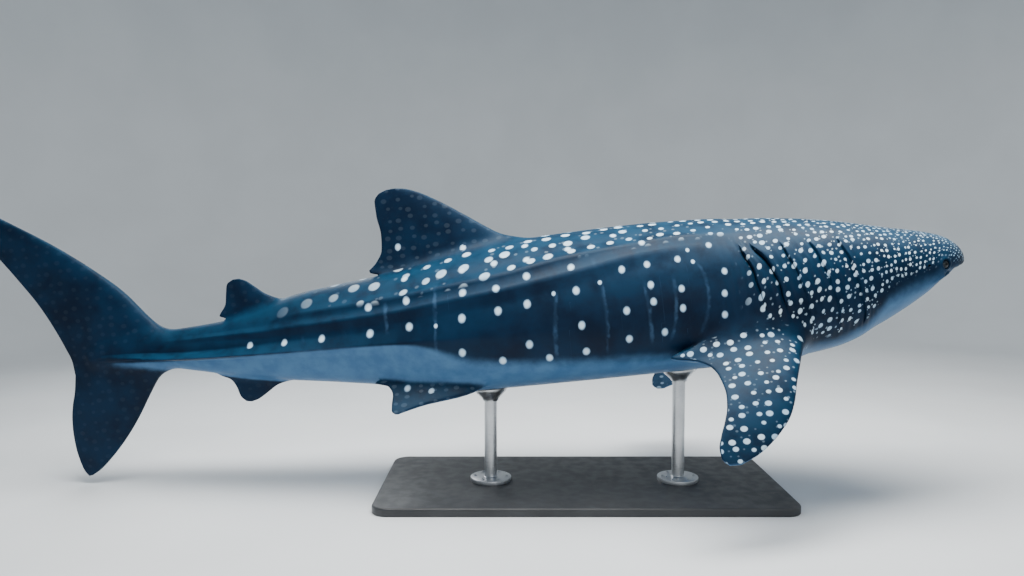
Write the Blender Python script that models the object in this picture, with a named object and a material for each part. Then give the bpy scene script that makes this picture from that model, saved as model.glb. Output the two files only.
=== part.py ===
"""A life-size museum model of a whale shark, held on a display stand as it swims.

Metres, +Z up. The head points along +X and the right flank faces -Y. The origin is the middle
of the stand base's underside. The shark is drawn in its own body coordinates first:
s runs back from the front of the snout, y to the left, and h up from the body's axis.
"""
import math

import bmesh
import bpy
import numpy as np

for old in list(bpy.data.objects):
    bpy.data.objects.remove(old, do_unlink=True)

# Driving dimensions of the whole model
BODY_PITCH = math.radians(5.8)      # the nose is carried this much above the tail
PIVOT_S = 2.35                      # the place along the body above the middle of the stand
TAIL_CLEARANCE = 0.05               # from the lowest tip of the tail down to the floor
TAIL_SWING = 0.12                   # how far the end of the tail swings to the left
SWING_START = 2.6                   # the body is straight ahead of this place
SWING_END = 6.35
GAP = 0.0003                        # kept between pieces that touch
TINY = 1e-9
TRIM_GAP = 1.3 * GAP                # how much larger the body is that trims the fins

# How finely the body is divided
RING = 48                           # points round the body, a multiple of 4
LOWER_RIDGE = 4                     # steps from the side to the middle ridge
UPPER_RIDGE = 6                     # steps from the side to the upper ridge


def smooth(points):
    """A smooth function through (place, value) pairs that never overshoots between them."""
    place = np.array([p[0] for p in points], float)
    value = np.array([p[1] for p in points], float)
    step = np.diff(place)
    rise = np.diff(value) / step
    slope = np.zeros(len(place))
    slope[0] = rise[0]
    slope[-1] = rise[-1]
    for i in range(1, len(place) - 1):
        if rise[i - 1] * rise[i] > 0:
            before = 2 * step[i] + step[i - 1]
            after = step[i] + 2 * step[i - 1]
            slope[i] = (before + after) / (before / rise[i - 1] + after / rise[i])

    def read(at):
        at = np.clip(at, place[0], place[-1])
        i = np.clip(np.searchsorted(place, at) - 1, 0, len(step) - 1)
        t = (at - place[i]) / step[i]
        return (value[i] * (1 + 2 * t) * (1 - t) ** 2 + value[i + 1] * t * t * (3 - 2 * t)
                + step[i] * (slope[i] * t * (1 - t) ** 2 - slope[i + 1] * t * t * (1 - t)))

    return read


# The body's outline by station. Station 0 is the line of the closed mouth, and from the gills
# back a station is a distance from the snout. Heights of the back and the belly, the height
# where the section is widest, and its half width without the keel.
BACK = smooth([(0, 0.027), (0.004, 0.039), (0.012, 0.056), (0.025, 0.085), (0.045, 0.130), (0.07, 0.168),
               (0.11, 0.206), (0.15, 0.232), (0.25, 0.267), (0.4, 0.302), (0.68, 0.367), (0.9, 0.409),
               (1.25, 0.450), (1.6, 0.476), (1.95, 0.484), (2.45, 0.474), (3.0, 0.425), (3.5, 0.338),
               (3.85, 0.298), (4.1, 0.267), (4.44, 0.180), (4.62, 0.138), (5.0, 0.111), (5.3, 0.080),
               (5.55, 0.010)])
BELLY = smooth([(0, 0.027), (0.004, 0.022), (0.012, 0.016), (0.045, -0.004), (0.11, -0.042), (0.25, -0.128),
                (0.4, -0.212), (0.55, -0.280), (0.7, -0.324), (0.85, -0.366), (1.0, -0.402), (1.25, -0.433),
                (1.6, -0.447), (2.1, -0.450), (2.95, -0.452), (3.3, -0.418), (3.6, -0.367), (3.95, -0.314),
                (4.2, -0.280), (4.5, -0.231), (4.8, -0.165), (5.03, -0.118), (5.3, -0.088), (5.55, -0.040)])
WIDEST = smooth([(0, 0.027), (0.115, 0.000), (0.25, -0.022), (0.8, -0.030), (1.5, -0.055),
                 (2.9, -0.075), (4.75, -0.064), (5.2, -0.036), (5.55, -0.018)])
HALF_WIDTH = smooth([(0, 0.285), (0.004, 0.297), (0.012, 0.310), (0.025, 0.324), (0.045, 0.340),
                     (0.07, 0.355), (0.11, 0.374), (0.15, 0.388), (0.25, 0.411), (0.5, 0.444), (0.9, 0.480),
                     (1.4, 0.506), (2.2, 0.496), (2.8, 0.450), (3.2, 0.385), (3.6, 0.303), (4.0, 0.238),
                     (4.4, 0.176), (4.7, 0.128), (5.0, 0.096), (5.25, 0.066), (5.55, 0.006)])
# How square the sections are above and below their widest level: 2 is an ellipse
SQUARE_TOP = smooth([(0, 3.0), (0.4, 2.6), (1.2, 2.2), (3.0, 2.0), (4.6, 1.8), (5.55, 1.8)])
SQUARE_BELLY = smooth([(0, 2.6), (0.5, 2.2), (1.5, 2.3), (3.0, 2.2), (4.6, 1.8), (5.55, 1.8)])
BODY_END = 5.55

# The three ridges along each flank, by their share of the height from the widest level to the
# back. The third ridge lies on the widest level and grows into the keel of the tail stalk.
UPPER_RIDGE_SHARE = smooth([(0, 0.80), (1.7, 0.815), (2.05, 0.775), (2.45, 0.725), (2.8, 0.650), (3.1, 0.625),
                            (4.3, 0.640), (5.55, 0.75)])
MIDDLE_RIDGE_SHARE = smooth([(0, 0.60), (1.7, 0.710), (2.05, 0.665), (2.5, 0.550), (2.9, 0.480), (4.0, 0.415),
                             (4.3, 0.450), (4.7, 0.600), (5.55, 0.62)])
UPPER_RIDGE_RISE = smooth([(1.35, 0), (1.8, 0.016), (3.0, 0.022), (3.8, 0.014), (4.3, 0)])
MIDDLE_RIDGE_RISE = smooth([(1.5, 0), (2.1, 0.016), (3.2, 0.022), (4.4, 0.012), (5.0, 0)])
RIDGE_SPREAD = 9.0                  # degrees from the crest of a ridge to its foot
KEEL_REACH = smooth([(2.2, 0), (3.0, 0.010), (3.7, 0.030), (4.3, 0.058), (4.75, 0.074), (5.0, 0.068),
                     (5.2, 0.040), (5.45, 0)])
KEEL_SPREAD = 13.0

# The front of the head: bowed in plan, a full upper lip that overhangs, the jaw sloping back
FRONT_BOW = 0.100                   # how far the corners of the upper lip stand behind its middle
JAW_BOW = 0.125                     # how much more the jaw is bowed
BOW_POWER = 2.4                     # above 2 makes the front flatter between its corners
MOUTH_BOW = 0.5                     # the share of that in the line of the mouth
MOUTH_DEPTH = 0.012                 # the station where the line has widened into the lips
BOW_END = 0.9
LIP_OVERHANG = smooth([(0, 0.065), (0.004, 0.020), (0.012, -0.006), (0.025, -0.025), (0.045, -0.031),
                       (0.11, -0.025), (0.25, -0.012), (0.5, 0)])
JAW_SETBACK = smooth([(0, 0.068), (0.004, 0.038), (0.012, 0.034), (0.045, 0.042), (0.11, 0.056),
                      (0.25, 0.050), (0.6, 0.015), (0.9, 0)])
# The line of the mouth runs on along each side as a groove, to the corner of the mouth
LIP_GROOVE = smooth([(0, 0), (0.012, 0.012), (0.035, 0.026), (0.08, 0.026), (0.115, 0)])
GROOVE_SPREAD = 7.0

# Gill slits: five to a side, leaning forward below, each under the free rear edge of its flap.
# Each is a station, and the height of its lower end.
GILL_SLITS = ((0.868, -0.235), (1.035, -0.235), (1.200, -0.215), (1.318, -0.110), (1.420, -0.060))
GILL_TOP = 0.310
GILL_FADE = 0.06                    # over which a slit runs out at its ends
FLAP_RISE = 0.014
FLAP_LENGTH = 0.08
SLIT_DEPTH = 0.024
SLIT_WIDTH = 0.016
SLIT_REAR = 0.045                   # how far behind the slit the skin is level again
GILL_LEAN = 0.14                    # how far a slit's lower part stands ahead of its top
LEAN_TOP = 0.32
LEAN_DROP = 0.80
LEAN_MIDDLE = 1.1
LEAN_REACH = 0.42

# Where the body is parted into nodes
HEAD_END = 0.70
GILLS_END = 1.72
TRUNK_END = 3.70

# The lowest tip of the tail sets the height of the body's axis above the floor
LOWER_TIP = (5.605, -0.782)
AXIS_HEIGHT = (TAIL_CLEARANCE - (PIVOT_S - LOWER_TIP[0]) * math.sin(BODY_PITCH)
               - LOWER_TIP[1] * math.cos(BODY_PITCH))


def place(s, y, h):
    """World position of a point given in body coordinates."""
    s = np.asarray(s, float)
    swing = TAIL_SWING * np.clip((s - SWING_START) / (SWING_END - SWING_START), 0, None) ** 2
    x = (PIVOT_S - s) * math.cos(BODY_PITCH) - h * math.sin(BODY_PITCH)
    z = AXIS_HEIGHT + (PIVOT_S - s) * math.sin(BODY_PITCH) + h * math.cos(BODY_PITCH)
    return np.stack(np.broadcast_arrays(x, y + swing, z), axis=-1)


def ridge_angle(share, station):
    """Degrees round the section, from its widest level, to a ridge at this share of the height."""
    return math.degrees(math.asin(float(share(station)) ** (float(SQUARE_TOP(station)) / 2)))


def ring_angles(station):
    """Degrees round the section, starting on the right side, with points on every ridge."""
    quarter = RING // 4
    known = (0, LOWER_RIDGE, UPPER_RIDGE, quarter)
    ridges = (0, ridge_angle(MIDDLE_RIDGE_SHARE, station), ridge_angle(UPPER_RIDGE_SHARE, station), 90)
    above = np.interp(np.arange(quarter + 1), known, ridges)
    below = np.linspace(0, 90, quarter + 1)
    return np.concatenate([above[:-1], 180 - above[:0:-1], 180 + below[:-1], 360 - below[:0:-1]])


def gill_relief(station, h):
    """How far the free edges of the gill flaps stand out and the slits go in, at heights h."""
    relief = np.zeros(len(h))
    for slit, foot in GILL_SLITS:
        reach = np.clip((GILL_TOP - h) / GILL_FADE, 0, 1) * np.clip((h - foot) / GILL_FADE, 0, 1)
        behind = station - slit
        if -FLAP_LENGTH < behind <= 0:
            relief += reach * FLAP_RISE * (1 + behind / FLAP_LENGTH)
        elif 0 < behind <= SLIT_WIDTH:
            relief -= reach * SLIT_DEPTH
        elif SLIT_WIDTH < behind < SLIT_REAR:
            relief -= reach * SLIT_DEPTH * (SLIT_REAR - behind) / (SLIT_REAR - SLIT_WIDTH)
    return relief


def crest(angle, at, spread):
    """1 on a crest at this angle, falling straight to 0 at its foot."""
    away = np.abs((angle - at + 180) % 360 - 180)
    return np.clip(1 - away / spread, 0, 1)


def skin_points(station, angle, inflate=0.0):
    """Points of the skin in body coordinates, for one station and an array of angles."""
    turn = np.radians(angle)
    side = -np.cos(turn)
    up = np.where(np.abs(np.sin(turn)) < TINY, 0, np.sin(turn))
    half_width = float(HALF_WIDTH(station)) + inflate
    widest = float(WIDEST(station))
    above = float(BACK(station)) - widest
    below = widest - float(BELLY(station))
    height = np.where(up > 0, above, below) + inflate
    power = 2 / np.where(up > 0, float(SQUARE_TOP(station)), float(SQUARE_BELLY(station)))
    y = half_width * np.sign(side) * np.abs(side) ** power
    h = widest + height * np.sign(up) * np.abs(up) ** power

    mouth = max(0.0, 1 - station / MOUTH_DEPTH)
    bow = FRONT_BOW + JAW_BOW * ((1 - mouth) * (1 - up) / 2 + mouth * MOUTH_BOW)
    bow = bow * max(0.0, 1 - station / BOW_END) ** 2 * np.abs(y / half_width) ** BOW_POWER
    lips = float(LIP_OVERHANG(station)) * (1 + up) / 2 + float(JAW_SETBACK(station)) * (1 - up) / 2
    drop = np.clip((LEAN_TOP - h) / LEAN_DROP, 0, 1)
    lean = GILL_LEAN * math.exp(-((station - LEAN_MIDDLE) / LEAN_REACH) ** 4) * drop * (2 - drop)

    relief = gill_relief(station, h)
    corners = crest(angle, 0, GROOVE_SPREAD) + crest(angle, 180, GROOVE_SPREAD)
    relief -= float(LIP_GROOVE(station)) * corners
    keels = crest(angle, 0, KEEL_SPREAD) + crest(angle, 180, KEEL_SPREAD)
    relief += float(KEEL_REACH(station)) * keels
    for share, rise in ((MIDDLE_RIDGE_SHARE, MIDDLE_RIDGE_RISE), (UPPER_RIDGE_SHARE, UPPER_RIDGE_RISE)):
        at = ridge_angle(share, station)
        ridges = crest(angle, at, RIDGE_SPREAD) + crest(angle, 180 - at, RIDGE_SPREAD)
        relief += float(rise(station)) * ridges
    out_y = side * height
    out_h = up * half_width
    length = np.hypot(out_y, out_h) + TINY
    return np.stack([station + bow + lips - lean, y + relief * out_y / length,
                     h + relief * out_h / length], axis=-1)


def body_points(station, inflate=0.0):
    """One closed ring of the body's skin, in body coordinates."""
    return skin_points(station, ring_angles(station), inflate)


def mesh_object(name, points, faces):
    """A named mesh object with its faces pointing out."""
    mesh = bpy.data.meshes.new(name)
    mesh.from_pydata([tuple(p) for p in points], [], faces)
    mesh.update()
    work = bmesh.new()
    work.from_mesh(mesh)
    bmesh.ops.recalc_face_normals(work, faces=work.faces)
    work.to_mesh(mesh)
    work.free()
    thing = bpy.data.objects.new(name, mesh)
    bpy.context.scene.collection.objects.link(thing)
    return thing


def loft(name, rings, mirror_from, flat_start=False):
    """A closed solid through rings of equal count, with a fan over each end.

    The faces are triangles whose diagonals mirror each other about the ring's point
    mirror_from. With flat_start the first ring is a pressed-flat line, closed on itself.
    """
    count = len(rings[0])
    half = count // 2
    points = list(np.concatenate(rings))
    faces = []
    for j in range(len(rings) - 1):
        for k in range(count):
            after = (k + 1) % count
            a = j * count + k
            b = j * count + after
            c = (j + 1) * count + after
            d = (j + 1) * count + k
            if (k - mirror_from) % count < half:
                faces += [(a, b, c), (a, c, d)]
            else:
                faces += [(a, b, d), (b, c, d)]
    ends = [(len(rings) - 1) * count]
    if not flat_start:
        ends.append(0)
    for start in ends:
        centre = np.mean(points[start:start + count], axis=0)
        points.append(centre)
        for k in range(count):
            faces.append((start + k, start + (k + 1) % count, len(points) - 1))
    if flat_start:
        twin = {k: count - k for k in range(half + 1, count)}
        folded = [tuple(twin.get(i, i) for i in face) for face in faces]
        faces = [face for face in folded if len(set(face)) == 3]
        used = sorted(set(i for face in faces for i in face))
        number = {old: new for new, old in enumerate(used)}
        points = [points[i] for i in used]
        faces = [tuple(number[i] for i in face) for face in faces]
    return mesh_object(name, points, faces)


def finish(thing, name, colour, roughness, metallic=0.0):
    """Give a piece its material, and smooth shading but for its sharp edges."""
    material = bpy.data.materials.new(name)
    material.use_nodes = True
    shader = material.node_tree.nodes["Principled BSDF"]
    shader.inputs["Base Color"].default_value = (*colour, 1)
    shader.inputs["Roughness"].default_value = roughness
    shader.inputs["Metallic"].default_value = metallic
    material.diffuse_color = (*colour, 1)
    thing.data.materials.clear()
    thing.data.materials.append(material)
    thing.data.shade_smooth()
    thing.data.set_sharp_from_angle(angle=SHARP_ANGLE)


def keep_largest(thing):
    """Drop every loose scrap of a mesh but its largest closed surface."""
    work = bmesh.new()
    work.from_mesh(thing.data)
    bmesh.ops.remove_doubles(work, verts=work.verts, dist=WELD_DISTANCE)
    bmesh.ops.triangulate(work, faces=work.faces)
    left = set(work.verts)
    islands = []
    while left:
        start = left.pop()
        island = {start}
        front = [start]
        while front:
            for edge in front.pop().link_edges:
                for vert in edge.verts:
                    if vert in left:
                        left.discard(vert)
                        island.add(vert)
                        front.append(vert)
        islands.append(island)
    islands.sort(key=len)
    scraps = [vert for island in islands[:-1] for vert in island]
    bmesh.ops.delete(work, geom=scraps, context="VERTS")
    work.to_mesh(thing.data)
    work.free()


def cut(thing, cutter):
    """Take the cutter's space out of a piece, and keep its largest closed surface."""
    step = thing.modifiers.new("cut", "BOOLEAN")
    step.operation = "DIFFERENCE"
    step.object = cutter
    step.solver = "EXACT"
    graph = bpy.context.evaluated_depsgraph_get()
    graph.update()
    done = bpy.data.meshes.new_from_object(thing.evaluated_get(graph))
    thing.modifiers.remove(step)
    thing.data = done
    keep_largest(thing)


SHARP_ANGLE = math.radians(40)
WELD_DISTANCE = 1e-6
SKIN = (0.050, 0.095, 0.125)
SKIN_ROUGHNESS = 0.45
HEAD_RINGS = (0, 0.004, 0.012, 0.025, 0.045, 0.07, 0.11, 0.15, 0.20, 0.25, 0.31, 0.38, 0.46, 0.54, 0.62)
TRUNK_STEPS = 17
TAIL_STEPS = 17


def body_stations(first, last):
    """The stations of the body's rings between two places: close at the mouth and the gills."""
    stations = list(HEAD_RINGS) + [HEAD_END, (HEAD_END + GILL_SLITS[0][0] - SLIT_REAR) / 2]
    for slit, foot in GILL_SLITS:
        stations += [slit - SLIT_REAR, slit, slit + SLIT_WIDTH, slit + SLIT_REAR]
    stations += list(np.linspace(GILL_SLITS[-1][0] + SLIT_REAR, GILLS_END, 4))[1:]
    stations += list(np.linspace(GILLS_END, TRUNK_END, TRUNK_STEPS + 1))[1:]
    stations += list(np.linspace(TRUNK_END, BODY_END, TAIL_STEPS + 1))[1:]
    return [station for station in stations if first <= station <= last]


def body_part(name, first, last):
    """One length of the body, parted from the one ahead of it by a thin gap."""
    rings = []
    for station in body_stations(first, last):
        ring = body_points(station)
        if station == first and first > 0:
            ring[:, 0] += GAP
        rings.append(place(*ring.T))
    thing = loft(name, rings, mirror_from=-(RING // 4), flat_start=first == 0)
    finish(thing, name + "_skin", SKIN, SKIN_ROUGHNESS)
    return thing


def trimming_body():
    """The whole body a hair larger, to trim what grows from it."""
    rings = []
    for station in body_stations(0, BODY_END):
        ring = body_points(station, TRIM_GAP if station > 0 else 0)
        if station == BODY_END:
            ring[:, 0] += TRIM_GAP
        rings.append(place(*ring.T))
    thing = loft("trimmer", rings, mirror_from=-(RING // 4), flat_start=True)
    thing.hide_render = True
    thing.display_type = "WIRE"
    return thing


# A fin's section: shares of its chord with points on them, and where it is thickest
FIN_CHORD = np.array([0.02, 0.07, 0.16, 0.30, 0.47, 0.65, 0.83, 1.0])
THICKEST = 0.30
TRAILING_POWER = 1.5
BROAD_EDGE = 0.012
SMALL_EDGE = 0.009


def fin_section(front, back, normal, thick, edge):
    """Points round one section of a fin, from its leading edge along one face and back."""
    ahead = np.sqrt(np.clip(1 - ((THICKEST - FIN_CHORD) / THICKEST) ** 2, 0, 1))
    behind = 1 - (np.clip(FIN_CHORD - THICKEST, 0, None) / (1 - THICKEST)) ** TRAILING_POWER
    shape = np.where(FIN_CHORD < THICKEST, ahead, behind)
    half = edge / 2 + (thick - edge) / 2 * shape
    middle = front + np.outer(FIN_CHORD, back - front)
    one = middle + half[:, None] * normal
    other = middle - half[:, None] * normal
    return np.concatenate([front[None], one, other[::-1]])


def upright_fin(name, front_edge, back_edge, thickness, steps, edge):
    """A fin in the body's middle plane, between edges given as (share of its height, s, h)."""
    front_s, front_h, back_s, back_h = (smooth([(point[0], point[i]) for point in outline])
                                        for outline in (front_edge, back_edge) for i in (1, 2))
    thick = smooth(thickness)
    rings = []
    for share in np.linspace(0, 1, steps + 1):
        front = np.array([float(front_s(share)), 0, float(front_h(share))])
        back = np.array([float(back_s(share)), 0, float(back_h(share))])
        ring = fin_section(front, back, np.array([0, 1, 0]), float(thick(share)), edge)
        rings.append(place(*ring.T))
    return loft(name, rings, mirror_from=0)


def first_dorsal_fin():
    front = [(0, 2.58, 0.36), (0.10, 2.69, 0.455), (0.22, 2.82, 0.520), (0.35, 2.92, 0.585),
             (0.5, 3.03, 0.662), (0.7, 3.18, 0.760), (0.85, 3.30, 0.825), (0.95, 3.38, 0.852),
             (1, 3.43, 0.858)]
    back = [(0, 3.46, 0.25), (0.10, 3.56, 0.322), (0.17, 3.65, 0.352), (0.24, 3.60, 0.410),
            (0.35, 3.560, 0.480), (0.5, 3.552, 0.580), (0.7, 3.568, 0.700), (0.85, 3.570, 0.785),
            (0.95, 3.54, 0.834), (1, 3.49, 0.854)]
    thickness = [(0, 0.15), (0.15, 0.11), (0.6, 0.06), (1, 0.022)]
    return upright_fin("first_dorsal_fin", front, back, thickness, 14, BROAD_EDGE)


def second_dorsal_fin():
    front = [(0, 4.16, 0.15), (0.25, 4.26, 0.250), (0.45, 4.33, 0.290), (0.7, 4.39, 0.340),
             (0.9, 4.445, 0.382), (1, 4.48, 0.395)]
    back = [(0, 4.52, 0.07), (0.25, 4.60, 0.155), (0.35, 4.635, 0.172), (0.5, 4.588, 0.240),
            (0.7, 4.575, 0.310), (0.9, 4.560, 0.370), (1, 4.52, 0.394)]
    return upright_fin("second_dorsal_fin", front, back, [(0, 0.075), (0.3, 0.05), (1, 0.014)], 9, SMALL_EDGE)


def anal_fin():
    front = [(0, 4.14, -0.15), (0.25, 4.24, -0.268), (0.45, 4.32, -0.303), (0.7, 4.395, -0.350),
             (0.9, 4.455, -0.383), (1, 4.49, -0.392)]
    back = [(0, 4.55, -0.11), (0.25, 4.64, -0.170), (0.35, 4.668, -0.196), (0.5, 4.612, -0.235),
            (0.7, 4.580, -0.290), (0.9, 4.560, -0.355), (1, 4.53, -0.386)]
    return upright_fin("anal_fin", front, back, [(0, 0.075), (0.3, 0.05), (1, 0.014)], 9, SMALL_EDGE)


# The two lobes of the tail fin are parted along a line back to the notch between them
LOBE_PARTING = ((4.90, -0.020), (5.621, -0.120))


def caudal_upper_lobe():
    start, notch = LOBE_PARTING
    front = [(0, start[0], start[1] + GAP / 2), (0.10, 4.985, 0.095), (0.22, 5.095, 0.218),
             (0.36, 5.239, 0.393), (0.5, 5.43, 0.560), (0.64, 5.64, 0.718), (0.78, 5.90, 0.885),
             (0.9, 6.13, 1.023), (0.97, 6.27, 1.105), (1, 6.335, 1.143)]
    back = [(0, notch[0], notch[1] + GAP / 2), (0.12, 5.628, -0.034), (0.25, 5.662, 0.065),
            (0.36, 5.708, 0.175), (0.5, 5.79, 0.340), (0.64, 5.92, 0.540), (0.78, 6.06, 0.735),
            (0.9, 6.215, 0.945), (0.97, 6.305, 1.065), (1, 6.352, 1.130)]
    thickness = [(0, 0.125), (0.3, 0.10), (0.7, 0.055), (1, 0.018)]
    return upright_fin("caudal_upper_lobe", front, back, thickness, 16, BROAD_EDGE)


def caudal_lower_lobe():
    start, notch = LOBE_PARTING
    front = [(0, start[0], start[1] - GAP / 2), (0.15, 5.0, -0.118), (0.28, 5.078, -0.188),
             (0.42, 5.158, -0.302), (0.55, 5.235, -0.420), (0.70, 5.335, -0.550), (0.84, 5.45, -0.670),
             (0.94, 5.54, -0.746), (1, 5.59, -0.774)]
    back = [(0, notch[0], notch[1] - GAP / 2), (0.15, 5.640, -0.225), (0.28, 5.664, -0.305),
            (0.42, 5.682, -0.400), (0.55, 5.687, -0.490), (0.70, 5.683, -0.580), (0.84, 5.668, -0.670),
            (0.94, 5.645, -0.745), (1, 5.620, -0.779)]
    thickness = [(0, 0.125), (0.3, 0.085), (0.7, 0.045), (1, 0.018)]
    return upright_fin("caudal_lower_lobe", front, back, thickness, 13, BROAD_EDGE)


def paired_fin(name, side, root, droop, front_edge, back_edge, thickness, steps, edge):
    """A fin out from the flank, bending down along its span. side is -1 right, 1 left.

    root is its start inside the body as (y, h). droop is (reach, degrees below level), and the
    edges are (reach, s), where reach is measured along the bent fin from the root.
    """
    front_s = smooth(front_edge)
    back_s = smooth(back_edge)
    thick = smooth(thickness)
    lean = smooth(droop)
    span = front_edge[-1][0]
    out, down = root
    previous = 0.0
    rings = []
    for share in np.linspace(0, 1, steps + 1) ** TIP_CROWDING:
        reach = share * span
        middle = math.radians(float(lean((reach + previous) / 2)))
        out += (reach - previous) * math.cos(middle)
        down -= (reach - previous) * math.sin(middle)
        previous = reach
        here = math.radians(float(lean(reach)))
        normal = np.array([0, side * math.sin(here), math.cos(here)])
        front = np.array([float(front_s(reach)), side * out, down])
        back = np.array([float(back_s(reach)), side * out, down])
        rings.append(place(*fin_section(front, back, normal, float(thick(reach)), edge).T))
    return loft(name, rings, mirror_from=0)


TIP_CROWDING = 0.9                  # less than 1 sets a paired fin's sections closer at its tip


def pectoral_fin(name, side):
    front = [(0, 1.03), (0.18, 1.090), (0.40, 1.195), (0.52, 1.250), (0.62, 1.296), (0.72, 1.337),
             (0.81, 1.386), (0.885, 1.452), (0.95, 1.528), (1.0, 1.606), (1.035, 1.690)]
    back = [(0, 1.62), (0.16, 1.70), (0.30, 1.90), (0.36, 1.77), (0.42, 1.71), (0.51, 1.686), (0.61, 1.680),
            (0.72, 1.697), (0.80, 1.727), (0.88, 1.764), (0.95, 1.787), (1.0, 1.785), (1.035, 1.750)]
    droop = [(0, 8), (0.20, 15), (1.0, 64), (1.04, 66)]
    thickness = [(0, 0.36), (0.18, 0.31), (0.35, 0.160), (0.6, 0.085), (1.035, 0.022)]
    return paired_fin(name, side, (0.22, -0.225), droop, front, back, thickness, 17, BROAD_EDGE)


def pelvic_fin(name, side):
    front = [(0, 2.90), (0.10, 2.93), (0.20, 2.97), (0.26, 3.045), (0.29, 3.15), (0.315, 3.32),
             (0.345, 3.435), (0.366, 3.500)]
    back = [(0, 3.50), (0.09, 3.59), (0.122, 3.655), (0.155, 3.575), (0.234, 3.541), (0.294, 3.545),
            (0.345, 3.545), (0.366, 3.525)]
    thickness = [(0, 0.085), (0.12, 0.06), (0.366, 0.014)]
    droop = [(0, 40), (0.35, 44)]
    return paired_fin(name, side, (0.12, -0.235), droop, front, back, thickness, 12, SMALL_EDGE)


# The eyes, the spiracles behind them and the nostrils over the upper lip: the station, the
# degrees round the section above its widest level, and how deep the middle lies under the skin
EYE_PLACE = (0.130, 12.0, 0.022)
SPIRACLE_PLACE = (0.270, 13.0, 0.002)
NOSTRIL_PLACE = (0.012, 40.0, 0.0)
EYE_RADIUS = 0.033
SPIRACLE_RADII = (0.020, 0.022, 0.013)
NOSTRIL_RADII = (0.016, 0.030, 0.012)
EYE_BLACK = (0.01, 0.012, 0.015)
EYE_ROUGHNESS = 0.08
BALL_ACROSS = 18
BALL_ALONG = 10


def ball(name, centre, radii):
    """An egg-shaped ball in body coordinates, with its poles to the left and right."""
    s, y, h = centre
    turn = np.linspace(0, 2 * math.pi, BALL_ACROSS, endpoint=False)
    rings = []
    for j in range(1, BALL_ALONG):
        polar = math.pi * j / BALL_ALONG
        around = math.sin(polar)
        rings.append(place(s + radii[0] * np.cos(turn) * around, y + radii[1] * math.cos(polar),
                           h + radii[2] * np.sin(turn) * around))
    thing = loft(name, rings, mirror_from=0)
    thing.data.vertices[-2].co = place(s, y - radii[1], h)
    thing.data.vertices[-1].co = place(s, y + radii[1], h)
    return thing


def under_skin(spot, side):
    """The point of body coordinates at a place on the head, this deep under its skin."""
    station, degrees, depth = spot
    angle = degrees if side < 0 else 180 - degrees
    s, y, h = skin_points(station, np.array([angle]))[0]
    return s, y - side * depth, h


def eyes_and_pits(head):
    """The eyes in their sockets, and the spiracles and nostrils as pits in the head."""
    for side, word in ((-1, "right"), (1, "left")):
        eye_centre = under_skin(EYE_PLACE, side)
        eye = ball("eye_" + word, eye_centre, (EYE_RADIUS,) * 3)
        finish(eye, eye.name + "_ball", EYE_BLACK, EYE_ROUGHNESS)
        socket = ball("socket", eye_centre, (EYE_RADIUS + GAP,) * 3)
        spiracle = ball("spiracle", under_skin(SPIRACLE_PLACE, side), SPIRACLE_RADII)
        nostril = ball("nostril", under_skin(NOSTRIL_PLACE, side), NOSTRIL_RADII)
        for hole in (socket, spiracle, nostril):
            cut(head, hole)
            bpy.data.objects.remove(hole, do_unlink=True)
    finish(head, "head_skin", SKIN, SKIN_ROUGHNESS)


# The stand: a flat base, and two rods, each on a round foot and under a saddle
BASE_SIZE = (2.5, 1.1, 0.05)
BASE_CORNER = 0.10
BASE_BEVEL = 0.012
CORNER_STEPS = 7
TURNED_SIDES = 24
ROD_RADIUS = 0.040
ROD_PLACES = {"front": 1.72, "rear": 2.92}
FOOT_RADIUS = 0.13
FOOT_HEIGHT = 0.025
FOOT_BEVEL = 0.005
SADDLE_RADIUS = 0.105
SADDLE_NECK = 0.050
SADDLE_HEIGHT = 0.085               # from its neck to the belly above the rod's middle
SADDLE_RIM = 0.022
SADDLE_SPARE = 0.06                 # of the saddle's blank, cut away to the belly's shape
PAINT = (0.03, 0.032, 0.035)
PAINT_ROUGHNESS = 0.5
METAL = (0.55, 0.56, 0.58)
METAL_ROUGHNESS = 0.3


def stand_base():
    """A flat plate with round corners and a bevelled upper edge."""
    length, width, height = BASE_SIZE
    work = bmesh.new()
    corners = []
    for along, across, start in ((1, 1, 0), (-1, 1, 90), (-1, -1, 180), (1, -1, 270)):
        for turn in np.radians(np.linspace(start, start + 90, CORNER_STEPS)):
            x = along * (length / 2 - BASE_CORNER) + BASE_CORNER * math.cos(turn)
            y = across * (width / 2 - BASE_CORNER) + BASE_CORNER * math.sin(turn)
            corners.append(work.verts.new((x, y, 0)))
    floor = work.faces.new(corners)
    lift = bmesh.ops.extrude_face_region(work, geom=[floor])
    raised = [item for item in lift["geom"] if isinstance(item, bmesh.types.BMVert)]
    bmesh.ops.translate(work, vec=(0, 0, height), verts=raised)
    bmesh.ops.recalc_face_normals(work, faces=work.faces)
    rim = [edge for edge in work.edges if all(vert in raised for vert in edge.verts)]
    bmesh.ops.bevel(work, geom=rim, offset=BASE_BEVEL, segments=2, affect="EDGES", profile=0.5)
    mesh = bpy.data.meshes.new("stand_base")
    work.to_mesh(mesh)
    work.free()
    base = bpy.data.objects.new("stand_base", mesh)
    bpy.context.scene.collection.objects.link(base)
    finish(base, "stand_base_paint", PAINT, PAINT_ROUGHNESS)


def turned(name, x, outline):
    """A round piece about the vertical line at x, through (radius, height) pairs."""
    turn = np.linspace(0, 2 * math.pi, TURNED_SIDES, endpoint=False)
    rings = []
    for radius, z in outline:
        level = np.full(TURNED_SIDES, z)
        rings.append(np.stack([x + radius * np.cos(turn), radius * np.sin(turn), level], axis=-1))
    return loft(name, rings, mirror_from=0)


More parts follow.
